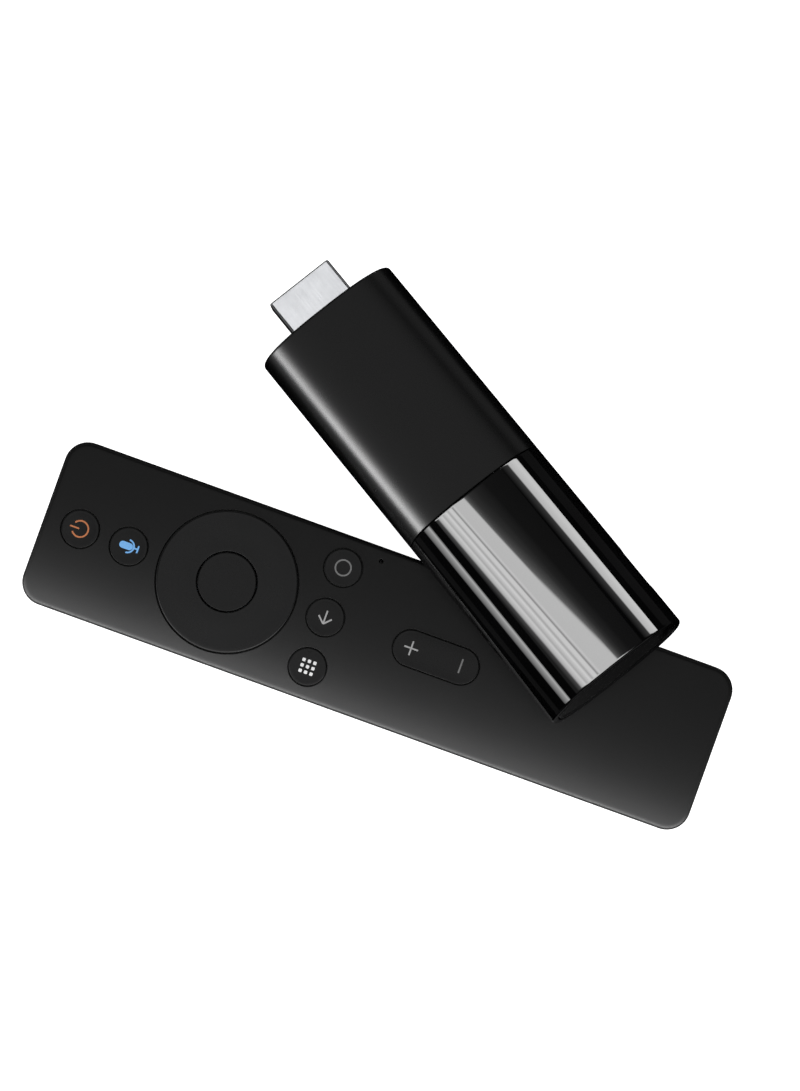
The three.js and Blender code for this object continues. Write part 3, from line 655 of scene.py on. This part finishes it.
def battery_door():
    """The belly's own curve inside the door's outline, with finger grooves near its tongue."""
    belly = loft([remote_ring(*level) for level in [*BELLY, (0, PARTING)]])
    door = combined(join(*door_space(0)), [belly], "INTERSECT")
    start = box_mm("battery_door")[0].x + DOOR["tongue"] + GRIP["first"]
    levels = [*reversed(fillet(GRIP["curve"], 0, GRIP["depth"])), (0, -PAST)]
    across = Matrix.Rotation(math.pi / 2, 4, "Z")
    grooves = []
    for k in range(GRIP["count"]):
        groove = loft([pill_ring(0, GRIP["half"], GRIP["radius"] - inset, z) for inset, z in levels])
        grooves.append(moved(groove, Matrix.Translation((start + k * GRIP["pitch"], 0, 0)) @ across))
    return cut(door, *grooves)


CASINGS = (
    ("remote_top_cover", top_cover, "remote"),
    ("remote_bottom_case", bottom_case, "remote"),
    ("battery_door", battery_door, "battery_door"),
)
for node, shape, body in CASINGS:
    piece(f"{node}_fine", shape(), body, REMOTE_BLACK, [node])


# ---- remote: keys
def crown(radius, top, centre=0.0):
    """Profile (radius, z) of a key's rounded edge and shallow dish, from its side in to its centre."""
    profile = rounded_edge(radius, top, KEY["edge"], -1)
    rim = radius - KEY["edge"]
    steps = 8
    for k in range(1, steps + 1):
        place = rim + (centre - rim) * k / steps
        profile.append((place, top - KEY["dish"] * (1 - (place / rim) ** 2)))
    return profile


def flanged(radius, low, high):
    """Profile (radius, z) of a flange and the side above it, from one height to the other."""
    wide = radius + KEY["flange"]
    return [(wide, low), (wide, high), (radius, high)]


def round_key(node):
    low, high = box_mm(node)
    radius = key_radius(node)
    skirt = flanged(radius, low.z, low.z + KEY["under"])
    return lathe([(0, low.z), *skirt, *crown(radius, high.z)], middle(node).x, middle(node).y)


def ok_button():
    low, high = box_mm("ok_button")
    radius = half_length("ok_button")
    return lathe([(0, low.z), (radius, low.z), *crown(radius, high.z)], middle("ok_button").x, 0)


def dpad_ring():
    """A ring whose face is hollowed between its two rims."""
    low, high = box_mm("dpad_ring")
    outer = key_radius("dpad_ring")
    inner = half_length("ok_button") + DPAD["ok_gap"]
    edge, ok_edge = DPAD["edge"], DPAD["ok_edge"]
    face = []
    start, stop = outer - edge, inner + ok_edge
    steps = 16
    for k in range(1, steps):
        share = k / steps
        dip = DPAD["dish"] * math.sin(math.pi * share)
        face.append((start + (stop - start) * share, high.z - dip))
    profile = [
        (inner, low.z),
        *flanged(outer, low.z, low.z + DPAD["flange_rise"]),
        *rounded_edge(outer, high.z, edge, -1),
        *face,
        *reversed(rounded_edge(inner, high.z, ok_edge, 1)),
    ]
    return lathe(profile, middle("dpad_ring").x, 0, closed=True)


def volume_rocker():
    low, high = box_mm("volume_rocker")
    radius = ROCKER["radius"]
    wide = radius + ROCKER["flange"]
    under = high.z - ROCKER["rise"]
    step = under + ROCKER["flange_rise"]
    levels = [(wide, under), (wide, step), (radius, step), *crown(radius, high.z, centre=0.02)]
    cap = loft([pill_ring(ROCKER_X, ROCKER["half"], *level) for level in levels])
    root = under + BITE
    bar_half = ROCKER["fulcrum"]
    fulcrum = block((ROCKER_X - bar_half, -radius, low.z), (ROCKER_X + bar_half, radius, root))
    tip, thick = ROCKER["stem_low"], ROCKER["stem_radius"]
    profile = [(0, tip), (thick, tip), (thick, root), (0, root)]
    stems = [lathe(profile, ROCKER_X + side * ROCKER["stem"], segments=32) for side in (-1, 1)]
    return join(cap, fulcrum, *stems)


KEY_SHAPES = {key: round_key(key) for key in KEYS}
KEY_SHAPES.update(ok_button=ok_button(), dpad_ring=dpad_ring(), volume_rocker=volume_rocker())
for key, shape in KEY_SHAPES.items():
    piece(f"{key}_fine", shape, key, KEY_BLACK, [key])

# ---- remote: printed symbols
STROKE = 0.3
KEY_TOP = box_mm("power_button")[1].z
INK_LOW = KEY_TOP - KEY["dish"] - 0.05
INK_HIGH = KEY_TOP - KEY["dish"] * 0.6  # a little above the dished face all over the symbol


def bar(x0, y0, x1, y1):
    """A straight stroke with rounded corners, between two points."""
    start, stop = Vector((x0, y0)), Vector((x1, y1))
    along = stop - start
    rings = [rounded_ring(along.length, STROKE, STROKE * 0.3, z, 3) for z in (INK_LOW, INK_HIGH)]
    middle_point = (start + stop) / 2
    turn = Matrix.Rotation(math.atan2(along.y, along.x), 4, "Z")
    return moved(loft(rings), Matrix.Translation((*middle_point, 0)) @ turn)


def arc(x, y, radius, start, stop):
    """A curved stroke about (x, y), between two angles in degrees."""
    steps = 48
    angles = [math.radians(start + (stop - start) * k / steps) for k in range(steps + 1)]
    outline = [(radius + STROKE / 2, a) for a in angles]
    outline += [(radius - STROKE / 2, a) for a in reversed(angles)]
    return loft([[(x + r * math.cos(a), y + r * math.sin(a), z) for r, a in outline]
                 for z in (INK_LOW, INK_HIGH)])


def power_symbol(x, y):
    return together(arc(x, y, 1.52, -146, 146), bar(x - 2.0, y, x - 0.2, y))


def voice_symbol(x, y):
    """A microphone that stands upright when the remote is held by its far end."""
    capsule = loft([pill_ring(0, 0.65, 0.66, z) for z in (INK_LOW, INK_HIGH)])
    cradle = arc(x - 0.2, y, 1.2, -90, 90)
    stem = bar(x + 0.95, y, x + 1.8, y)
    foot = bar(x + 1.8, y - 0.7, x + 1.8, y + 0.7)
    return together(moved(capsule, Matrix.Translation((x - 0.5, y, 0))), join(cradle, stem, foot))


def home_symbol(x, y):
    radius = 1.46
    return tube(radius - STROKE / 2, radius + STROKE / 2, INK_LOW, INK_HIGH, x, y)


def back_symbol(x, y):
    half = 1.3
    tip = y - half
    shaft = bar(x, tip + 0.1, x, y + half)
    return join(shaft, bar(x, tip, x - half, tip + half), bar(x, tip, x + half, tip + half))


def apps_symbol(x, y):
    pitch = 1.07
    dot = 0.62
    dots = []
    for column in (-1, 0, 1):
        for row in (-1, 0, 1):
            rings = [rounded_ring(dot, dot, dot / 4, z, 4) for z in (INK_LOW, INK_HIGH)]
            dots.append(moved(loft(rings), Matrix.Translation((x + column * pitch, y + row * pitch, 0))))
    return together(*dots)


SYMBOLS = (
    ("power", power_symbol, "orange"),
    ("voice", voice_symbol, "blue"),
    ("home", home_symbol, "grey"),
    ("back", back_symbol, "pale"),
    ("apps", apps_symbol, "white"),
)
for name, draw, ink in SYMBOLS:
    key = f"{name}_button"
    piece(f"{name}_symbol", draw(middle(key).x, middle(key).y), key, INK[ink])

PLUS_X = ROCKER_X - ROCKER["half"]
MINUS_X = ROCKER_X + ROCKER["half"]
SIGN_HALF = 1.38
plus = join(bar(PLUS_X - SIGN_HALF, 0, PLUS_X + SIGN_HALF, 0), bar(PLUS_X, -SIGN_HALF, PLUS_X, SIGN_HALF))
piece("volume_up_symbol", plus, "volume_rocker", INK["pale"])
piece("volume_down_symbol", bar(MINUS_X, -SIGN_HALF, MINUS_X, SIGN_HALF), "volume_rocker", INK["grey"])


# ---- remote: cells and contacts
def battery(node, direction):
    """A steel can with a crimped shoulder and nub, and the printed wrapper round it."""
    low, high = box_mm(node)
    radius = (high.y - low.y) / 2
    can = radius - CELL["wrapper"]
    length = high.x - low.x
    nub = CELL["nub"]
    shoulder = length - CELL["rise"]
    groove = shoulder - 0.25
    steel = [
        (0, 0.15), (2.6, 0.15), (2.9, 0), (can - 0.5, 0), (can, 0.5),
        (can, shoulder - 0.7), (can - 0.7, shoulder), (2.6, shoulder), (2.4, groove),
        (nub, groove), (nub, length - 0.3), (nub - 0.3, length), (0, length),
    ]
    start, stop = CELL["bare"], shoulder - CELL["rise"]
    inside, chamfer = can + 0.01, radius - 0.02
    wrapper = [
        (inside, start), (chamfer, start), (radius, start + 0.1),
        (radius, stop - 0.1), (chamfer, stop), (inside, stop),
    ]
    foot = low.x if direction > 0 else high.x
    turn = Matrix.Rotation(direction * math.pi / 2, 4, "Y")
    place = Matrix.Translation((foot, middle(node).y, middle(node).z)) @ turn
    return moved(lathe(steel), place), moved(lathe(wrapper, closed=True), place)


for node, direction in (("battery_1", 1), ("battery_2", -1)):
    can, wrapper = battery(node, direction)
    piece(f"{node}_can", can, "remote", NICKEL, [node])
    piece(f"{node}_wrapper", wrapper, "remote", LABEL)


def coil(x, y, z, direction):
    """A conical spring of round wire that rises from a contact plate."""
    steps, sides = 150, 10
    wire = SPRING["wire"] / 2
    rings = []
    for k in range(steps + 1):
        share = k / steps
        angle = 2 * math.pi * SPRING["turns"] * share
        radius = SPRING["wide"] + (SPRING["narrow"] - SPRING["wide"]) * share
        rise = wire + share * (SPRING["rise"] - 3 * wire)
        outward = Vector((0, math.cos(angle), math.sin(angle)))
        centre = Vector((x + direction * rise, y, z)) + outward * radius
        ring = []
        for i in range(sides):
            turn = 2 * math.pi * i / sides
            ring.append(centre + wire * (outward * math.cos(turn) + X_AXIS * math.sin(turn)))
        rings.append(ring)
    return loft(rings)


def spring_contact(node, y, direction):
    """A pressed plate with a spring wound from its face."""
    low, high = box_mm(node)
    back = low.x if direction > 0 else high.x
    face = back + direction * SPRING["plate"]
    plate = block((min(back, face), low.y, low.z), (max(back, face), high.y, high.z), 0.08)
    return join(plate, coil(face - direction * BITE, y, middle(node).z, direction))


for node, cell, direction in (("negative_contact", "battery_1", 1), ("bridge_contact", "battery_2", -1)):
    contact = spring_contact(node, middle(cell).y, direction)
    piece(f"{node}_fine", contact, "remote", NICKEL, [node])


# ---- stick: housing
def sleeve(x0, x1, rim0, rim1):
    """A tube of the stick's section between x0 and x1, with its two outer rims rounded."""
    steps = 14
    beside_rim = 0.2
    bevel = 0.15
    start, stop = x0 + rim0 + beside_rim, x1 - rim1 - beside_rim
    levels = [
        *reversed(fillet(rim0, x0 + rim0, x0)),
        *((0, start + (stop - start) * k / steps) for k in range(steps + 1)),
        *fillet(rim1, x1 - rim1, x1),
        (SLEEVE_WALL - bevel, x1),
        (SLEEVE_WALL, x1 - bevel),
        (SLEEVE_WALL, x0 + bevel),
        (SLEEVE_WALL - bevel, x0),
    ]
    return loft([oval_ring(*level) for level in levels], closed=True)


def mouth_ring(length, width, corner, grow, z):
    """A rounded rectangle that is grow larger all round than length by width."""
    return rounded_ring(length + 2 * grow, width + 2 * grow, corner + grow, z)


def on_side(mesh, node):
    """Turns a shape's height out of the stick's side, level with a node along the stick."""
    low, high = local_box(node)
    return moved(mesh, Matrix.Translation(((low.x + high.x) / 2, 0, 0)) @ ALONG_Y)


def inlet_cutter():
    """The opening round the power socket, with a rounded outer edge."""
    low, high = local_box("power_socket_shell")
    clear = 2 * SOCKET["clear"]
    length, width = high.x - low.x + clear, high.z - low.z + clear
    side = STICK_WIDTH / 2
    levels = [(0, side - INTO_SIDE), (0, side - 0.55), (0.12, side - 0.3), (0.35, side), (0.35, side + PAST)]
    rings = [mouth_ring(length, width, SOCKET["opening_corner"], *level) for level in levels]
    return on_side(loft(rings), "power_socket_shell")


def light_cutter():
    side = STICK_WIDTH / 2
    radius = PIPE_RADIUS + SEAM
    sink = 0.3
    profile = [(0, side - INTO_SIDE), (radius, side - INTO_SIDE), (radius, side - 0.1),
               (radius + sink, side + sink), (0, side + sink)]
    return on_side(lathe(profile), "status_light_pipe")


def plug_cap():
    """The face round the plug, a little below the rim, with a rounded throat."""
    low, high = local_box("plug_end_cap")
    plug_low, plug_high = local_box("video_plug_shell")
    edge = CAP_EDGE
    levels = [(edge, low.x), (0, low.x + edge), *fillet(edge, high.x - edge, high.x)]
    disc = loft([oval_ring(CAP_INSET + inset, x) for inset, x in levels])
    across = plug_high.y - plug_low.y + 2 * SEAM
    up = plug_high.z - plug_low.z + 2 * SEAM
    face = high.x
    throat = [(0, low.x - PAST), (0, face - 0.4), (0.12, face - 0.12), (0.4, face), (0.4, face + PAST)]
    hole = loft([mouth_ring(across, up, PLUG["corner"] + SEAM, *level) for level in throat])
    return cut(disc, moved(hole, ALONG_X))


def tail_cap():
    """The closing face at the tail, with a shallow step inside its rim."""
    low, high = local_box("tail_end_cap")
    rim = reversed(fillet(CAP_EDGE, low.x + CAP_EDGE, low.x))
    levels = [(1.0, low.x + 0.15), (0.75, low.x + 0.12), (0.6, low.x), *rim, (0, high.x)]
    return loft([oval_ring(CAP_INSET + inset, x) for inset, x in levels])


SPLIT = local_box("matte_sleeve")[0].x
RIM = 0.45  # rounding at the sleeves' outer ends
FINE_RIM = 0.12  # and where they meet
matte = sleeve(SPLIT, END, FINE_RIM, RIM)
gloss = cut(sleeve(-END, SPLIT - SEAM, RIM, FINE_RIM), inlet_cutter(), light_cutter())
stick_piece("matte_sleeve", matte, MATTE_BLACK, weighted=False)
stick_piece("gloss_sleeve", gloss, GLOSS_BLACK, weighted=False)
stick_piece("plug_end_cap", plug_cap(), MATTE_BLACK)
stick_piece("tail_end_cap", tail_cap(), GLOSS_BLACK)


# ---- stick: video plug and power socket
def plug_shell():
    """A folded steel shell with a rolled mouth, a seam and two latch dimples on its underside."""
    low, high = local_box("video_plug_shell")
    across, up = high.y - low.y, high.z - low.z
    lip, wall = PLUG["lip"], PLUG["wall"]
    rolled = [(inset * 0.8, x) for inset, x in fillet(lip, high.x - lip, high.x, 5)]
    levels = [(0, low.x), (0, high.x - 2 * lip), *rolled,
              (wall, high.x - 0.05), (wall, high.x - 0.5), (wall, low.x)]
    rings = []
    for inset, x in levels:
        corner = max(PLUG["corner"] - inset, 0.25)
        rings.append(rounded_ring(across - 2 * inset, up - 2 * inset, corner, x, 6))
    shell = moved(loft(rings, closed=True), ALONG_X)
    x = END + (high.x - END) * 0.55
    outside = low.z - PAST
    half_x, half_y, dimple_top = 1.1, 0.95, low.z + 0.18
    dimples = [block((x - half_x, y - half_y, outside), (x + half_x, y + half_y, dimple_top))
               for y in (-3.4, 3.4)]
    seam_half = 0.06
    seam = block((low.x - PAST, -seam_half, outside), (high.x + PAST, seam_half, low.z + 0.15))
    return cut(shell, seam, *dimples)


def socket_shell():
    """The drawn steel shell of the power socket, closed behind and flared at its mouth."""
    low, high = local_box("power_socket_shell")
    length, width = high.x - low.x, high.z - low.z
    mouth, back = -low.y, -high.y
    wall, flared = SOCKET["wall"], SOCKET["flare"]
    bend = [(0, mouth - 0.8), (-flared * 0.4, mouth - 0.3), (-flared, mouth)]
    levels = [(0.3, back), (0, back + 0.3), *bend,
              *((wall + inset, z) for inset, z in reversed(bend)), (wall, back + wall)]
    rings = [rounded_ring(length - 2 * inset, width - 2 * inset, SOCKET["corner"] - inset * 0.6, z, 6)
             for inset, z in levels]
    return on_side(loft(rings), "power_socket_shell")


stick_piece("video_plug_shell", plug_shell(), PLUG_STEEL)
stick_piece("power_socket_shell", socket_shell(), PLUG_STEEL)

# ---- floor, camera and light
WHITE = (1, 1, 1)
FLOOR = {"half": 4.0, "level": -0.00005, "glow": 0.95}  # in metres
CAMERA = {"lens": 141.7, "sensor": 36, "place": (-1.753, 17.3, 814), "turn": 19.83}


def pale_floor():
    material, _, shader = tree_of("floor_white", (0.9, 0.9, 0.9), 0.9)
    shader.inputs["Emission Color"].default_value = (*WHITE, 1)
    shader.inputs["Emission Strength"].default_value = FLOOR["glow"]
    corners = [(x * FLOOR["half"], y * FLOOR["half"], FLOOR["level"])
               for x, y in ((-1, -1), (1, -1), (1, 1), (-1, 1))]
    mesh = bpy.data.meshes.new("floor")
    mesh.from_pydata(corners, [], [(0, 1, 2, 3)])
    mesh.materials.append(material)
    floor = linked("floor", mesh)
    floor.visible_glossy = False


def white_world():
    """A white surround that lights the object softly and isn't mirrored in it."""
    world = bpy.data.worlds.new("surround")
    world.use_nodes = True
    background = world.node_tree.nodes["Background"]
    background.inputs["Color"].default_value = (*WHITE, 1)
    background.inputs["Strength"].default_value = 1.0
    world.cycles_visibility.glossy = False
    bpy.context.scene.world = world


def add_camera():
    """The camera looks straight down, turned so that the remote runs down to the right."""
    data = bpy.data.cameras.new("camera")
    data.lens, data.sensor_width = CAMERA["lens"], CAMERA["sensor"]
    data.clip_start, data.clip_end = 0.05, 50
    camera = linked("camera", data)
    camera.location = Vector(CAMERA["place"]) * MM
    camera.rotation_euler = (0, 0, math.radians(CAMERA["turn"]))
    bpy.context.scene.camera = camera


def group(name, *pieces):
    """A collection that lights can be linked to; its pieces stay in the scene."""
    collection = bpy.data.collections.new(name)
    for piece_name in pieces:
        collection.objects.link(bpy.data.objects[piece_name])
    return collection


def card(name, target, towards, across, distance, width, length, radiance, receivers,
         profile=None, slant=0.0):
    """A flat lamp that faces a point.

    profile gives its brightness as (place, share of radiance) from one long edge to the other.
    slant is how far the places move across the card from one end to the other.
    """
    light = bpy.data.lights.new(name, "AREA")
    light.shape = "RECTANGLE"
    light.size, light.size_y = width, length
    light.energy = radiance * math.pi * width * length
    if profile:
        light.use_nodes = True
        tree = light.node_tree
        emission = tree.nodes["Emission"]
        place = add_node(tree, "NewGeometry")
        along = add_node(tree, "VectorMath")
        along.operation = "DOT_PRODUCT"
        along.inputs[1].default_value = (1, slant, 0)
        tree.links.new(place.outputs["Parametric"], along.inputs[0])
        shift = add_node(tree, "Math")
        shift.operation = "SUBTRACT"
        shift.inputs[1].default_value = slant / 2
        tree.links.new(along.outputs["Value"], shift.inputs[0])
        stops = [(where, shade(WHITE, value)) for where, value in profile]
        ramp(tree, shift.outputs["Value"], stops, emission.inputs["Strength"])
    obj = linked(name, light)
    z_axis = Vector(towards).normalized()
    x_axis = (Vector(across) - z_axis * Vector(across).dot(z_axis)).normalized()
    y_axis = z_axis.cross(x_axis)
    turn = Matrix((x_axis, y_axis, z_axis)).transposed().to_4x4()
    obj.matrix_world = Matrix.Translation(Vector(target) + z_axis * distance) @ turn
    obj.visible_camera = False
    obj.light_linking.receiver_collection = receivers


def cross_angle(vector):
    """The angle of a direction in the stick's cross-section, from its Z towards its Y."""
    return math.atan2(vector.dot(STICK_Y), vector.dot(STICK_Z))


VIEW = Vector((0, 0, 1))  # from the object up to the camera
VIEW_ANGLE = cross_angle(VIEW)


def mirrored_angles():
    """Where the stick's upper surface mirrors light from: (place across it as seen from above, angle) pairs.

    The place runs from -1 at one edge of what is seen to 1 at the edge on the side of the stick's Y.
    """
    pairs = []
    steps = 1440
    for k in range(steps + 1):
        turn = math.pi * k / steps
        c, s = math.cos(turn), math.sin(turn)
        y = STICK_WIDTH / 2 * math.copysign(abs(c) ** (2 / STICK_POWER), c)
        z = STICK_THICK / 2 * s ** (2 / STICK_POWER)
        slope_y = math.copysign(abs(y) ** (STICK_POWER - 1), c) / (STICK_WIDTH / 2) ** STICK_POWER
        slope_z = z ** (STICK_POWER - 1) / (STICK_THICK / 2) ** STICK_POWER
        seen = y * math.cos(VIEW_ANGLE) - z * math.sin(VIEW_ANGLE)
        pairs.append((seen, 2 * math.atan2(slope_y, slope_z) - VIEW_ANGLE))
    edge = max(seen for seen, _ in pairs)
    return [(seen / edge, angle) for seen, angle in pairs]


MIRRORED = mirrored_angles()


def mirrored_angle(place):
    return min(MIRRORED, key=lambda pair: abs(pair[0] - place))[1]


def stick_card(name, strip, radiance, receivers, slant=0.0, length=0.8):
    """A card that the stick mirrors as a strip along it.

    strip is a list of (place, share of radiance) across the stick, from its -Y side to its Y side.
    """
    distance = 1.5
    axial = -VIEW.dot(STICK_X)
    cross = math.sqrt(1 - axial * axial)
    angles = [mirrored_angle(place) for place, _ in strip]
    middle_angle = (angles[0] + angles[-1]) / 2
    half_width = distance * cross * math.tan((angles[-1] - angles[0]) / 2)
    outward = STICK_Y * math.sin(middle_angle) + STICK_Z * math.cos(middle_angle)
    towards = STICK_X * axial + outward * cross
    across = STICK_Y * math.cos(middle_angle) - STICK_Z * math.sin(middle_angle)
    profile = [(0.5 + distance * cross * math.tan(angle - middle_angle) / (2 * half_width), share)
               for angle, (_, share) in zip(angles, strip)]
    card(name, STICK.translation, towards, across, distance, 2 * half_width, length, radiance,
         receivers, profile, slant)


pale_floor()
white_world()
add_camera()

GLOSS_PIECES = group("gloss_pieces", "gloss_sleeve_fine", "tail_end_cap_fine")
MATTE_PIECES = group("matte_pieces", "matte_sleeve_fine", "plug_end_cap_fine")
PLUG_PIECES = group("plug_pieces", "video_plug_shell_fine", "power_socket_shell_fine")
EDGE_PIECES = group("edge_pieces", "remote_top_cover_fine", "remote_bottom_case_fine")
RING_PIECES = group("ring_pieces", "dpad_ring_fine")
KEY_PIECES = group("key_pieces", "dpad_ring_fine", "ok_button_fine", "volume_rocker_fine",
                   *(f"{key}_fine" for key in KEYS))
LIT_ALONE = {*GLOSS_PIECES.objects, *MATTE_PIECES.objects, *PLUG_PIECES.objects, *KEY_PIECES.objects}
MESHES = [obj for obj in bpy.data.objects if obj.type == "MESH" and obj.name != "floor"]
CASING_PIECES = group("casing_pieces", *(obj.name for obj in MESHES
                                         if obj not in LIT_ALONE and obj.name != "microphone"))

GLOSS_STRIPS = {
    "gloss_side": (0.3, [(0.645, 0.1), (0.67, 0.8), (0.69, 0.55), (0.735, 0.2), (0.745, 0.0)]),
    "gloss_window": (0.585, [
        (-0.5, 0.008), (-0.24, 0.01), (-0.12, 0.026), (-0.04, 0.05), (0.04, 0.11), (0.07, 0.2), (0.09, 1.0),
        (0.24, 0.98), (0.26, 1.15), (0.285, 0.45), (0.30, 1.2), (0.33, 1.2), (0.355, 0.75), (0.38, 1.3),
        (0.43, 0.8), (0.45, 1.2), (0.49, 0.85), (0.51, 0.12), (0.55, 0.02),
    ]),
    "gloss_far": (0.83, [
        (-0.72, 0.0), (-0.715, 1.05), (-0.68, 1.15), (-0.60, 0.95), (-0.585, 0.07), (-0.50, 0.0),
    ]),
}
for name, (slant, strip) in GLOSS_STRIPS.items():
    stick_card(name, strip, 11, GLOSS_PIECES, slant)
matte_streak = [(0.68, 0.1), (0.72, 0.35), (0.76, 1.0), (0.80, 0.6)]
stick_card("matte_streak", matte_streak, 32, MATTE_PIECES, length=0.27)
stick_card("matte_top", [(-0.72, 0.5), (-0.6, 1.0), (0, 1.0), (0.66, 1.3)], 0.4, MATTE_PIECES)

mirror_up = STICK_Z * (2 * STICK_Z.dot(VIEW)) - VIEW
card("plug_top", STICK.translation, mirror_up, STICK_Y, 1.0, 0.5, 0.5, 1.75, PLUG_PIECES,
     [(0.0, 0.72), (0.45, 0.86), (0.55, 1.0), (1.0, 1.1)])

# The remote's lamps: target, direction to the lamp, distance, width, length, radiance, pieces lit.
BESIDE = (0, -0.0235, 0.014)
REMOTE_LAMPS = {
    "key_top": ((0, 0, 0), VIEW, 0.8, 0.6, 0.4, 0.4, KEY_PIECES),
    "key_side": (BESIDE, VIEW, 0.018, 0.2, 0.016, 1.2, KEY_PIECES),
    "casing_top": ((0, 0, 0), VIEW, 0.8, 0.6, 0.4, 0.52, CASING_PIECES),
    "casing_side": (BESIDE, VIEW, 0.016, 0.2, 0.016, 3.5, CASING_PIECES),
    "casing_edge": ((0, -0.0155, 0.0137), (0, -1, 0.62), 0.008, 0.26, 0.003, 10.5, EDGE_PIECES),
    "ring_edge": ((0, -0.0155, 0.0135), (0, -1, 0.75), 0.08, 0.26, 0.03, 2.2, RING_PIECES),
}
for name, (target, towards, *sizes) in REMOTE_LAMPS.items():
    card(name, target, towards, X_AXIS, *sizes)

# Soft light from low all round and from beyond the tail, for the sides that the other lamps miss.
OBJECT_PIECES = group("object_pieces", *(obj.name for obj in MESHES))
SATIN_PIECES = group("satin_pieces", *(obj.name for obj in MESHES if obj.name not in GLOSS_PIECES.objects))
for name, pieces, radiance in (("gloss", GLOSS_PIECES, 0.08), ("satin", SATIN_PIECES, 0.28)):
    for k in range(4):
        outward = Matrix.Rotation(k * math.pi / 2, 3, "Z") @ X_AXIS
        sideways = outward.cross(VIEW)
        card(f"low_{name}_{k}", (0, 0, 0.14), outward, sideways, 0.6, 1.2, 0.28, radiance, pieces)
beyond_tail = Vector((-STICK_X.x, -STICK_X.y, 0.75))
card("tail_sky", STICK.translation, beyond_tail, STICK_Y, 0.9, 0.9, 0.5, 0.4, OBJECT_PIECES)

bpy.context.scene.view_settings.view_transform = "Standard"
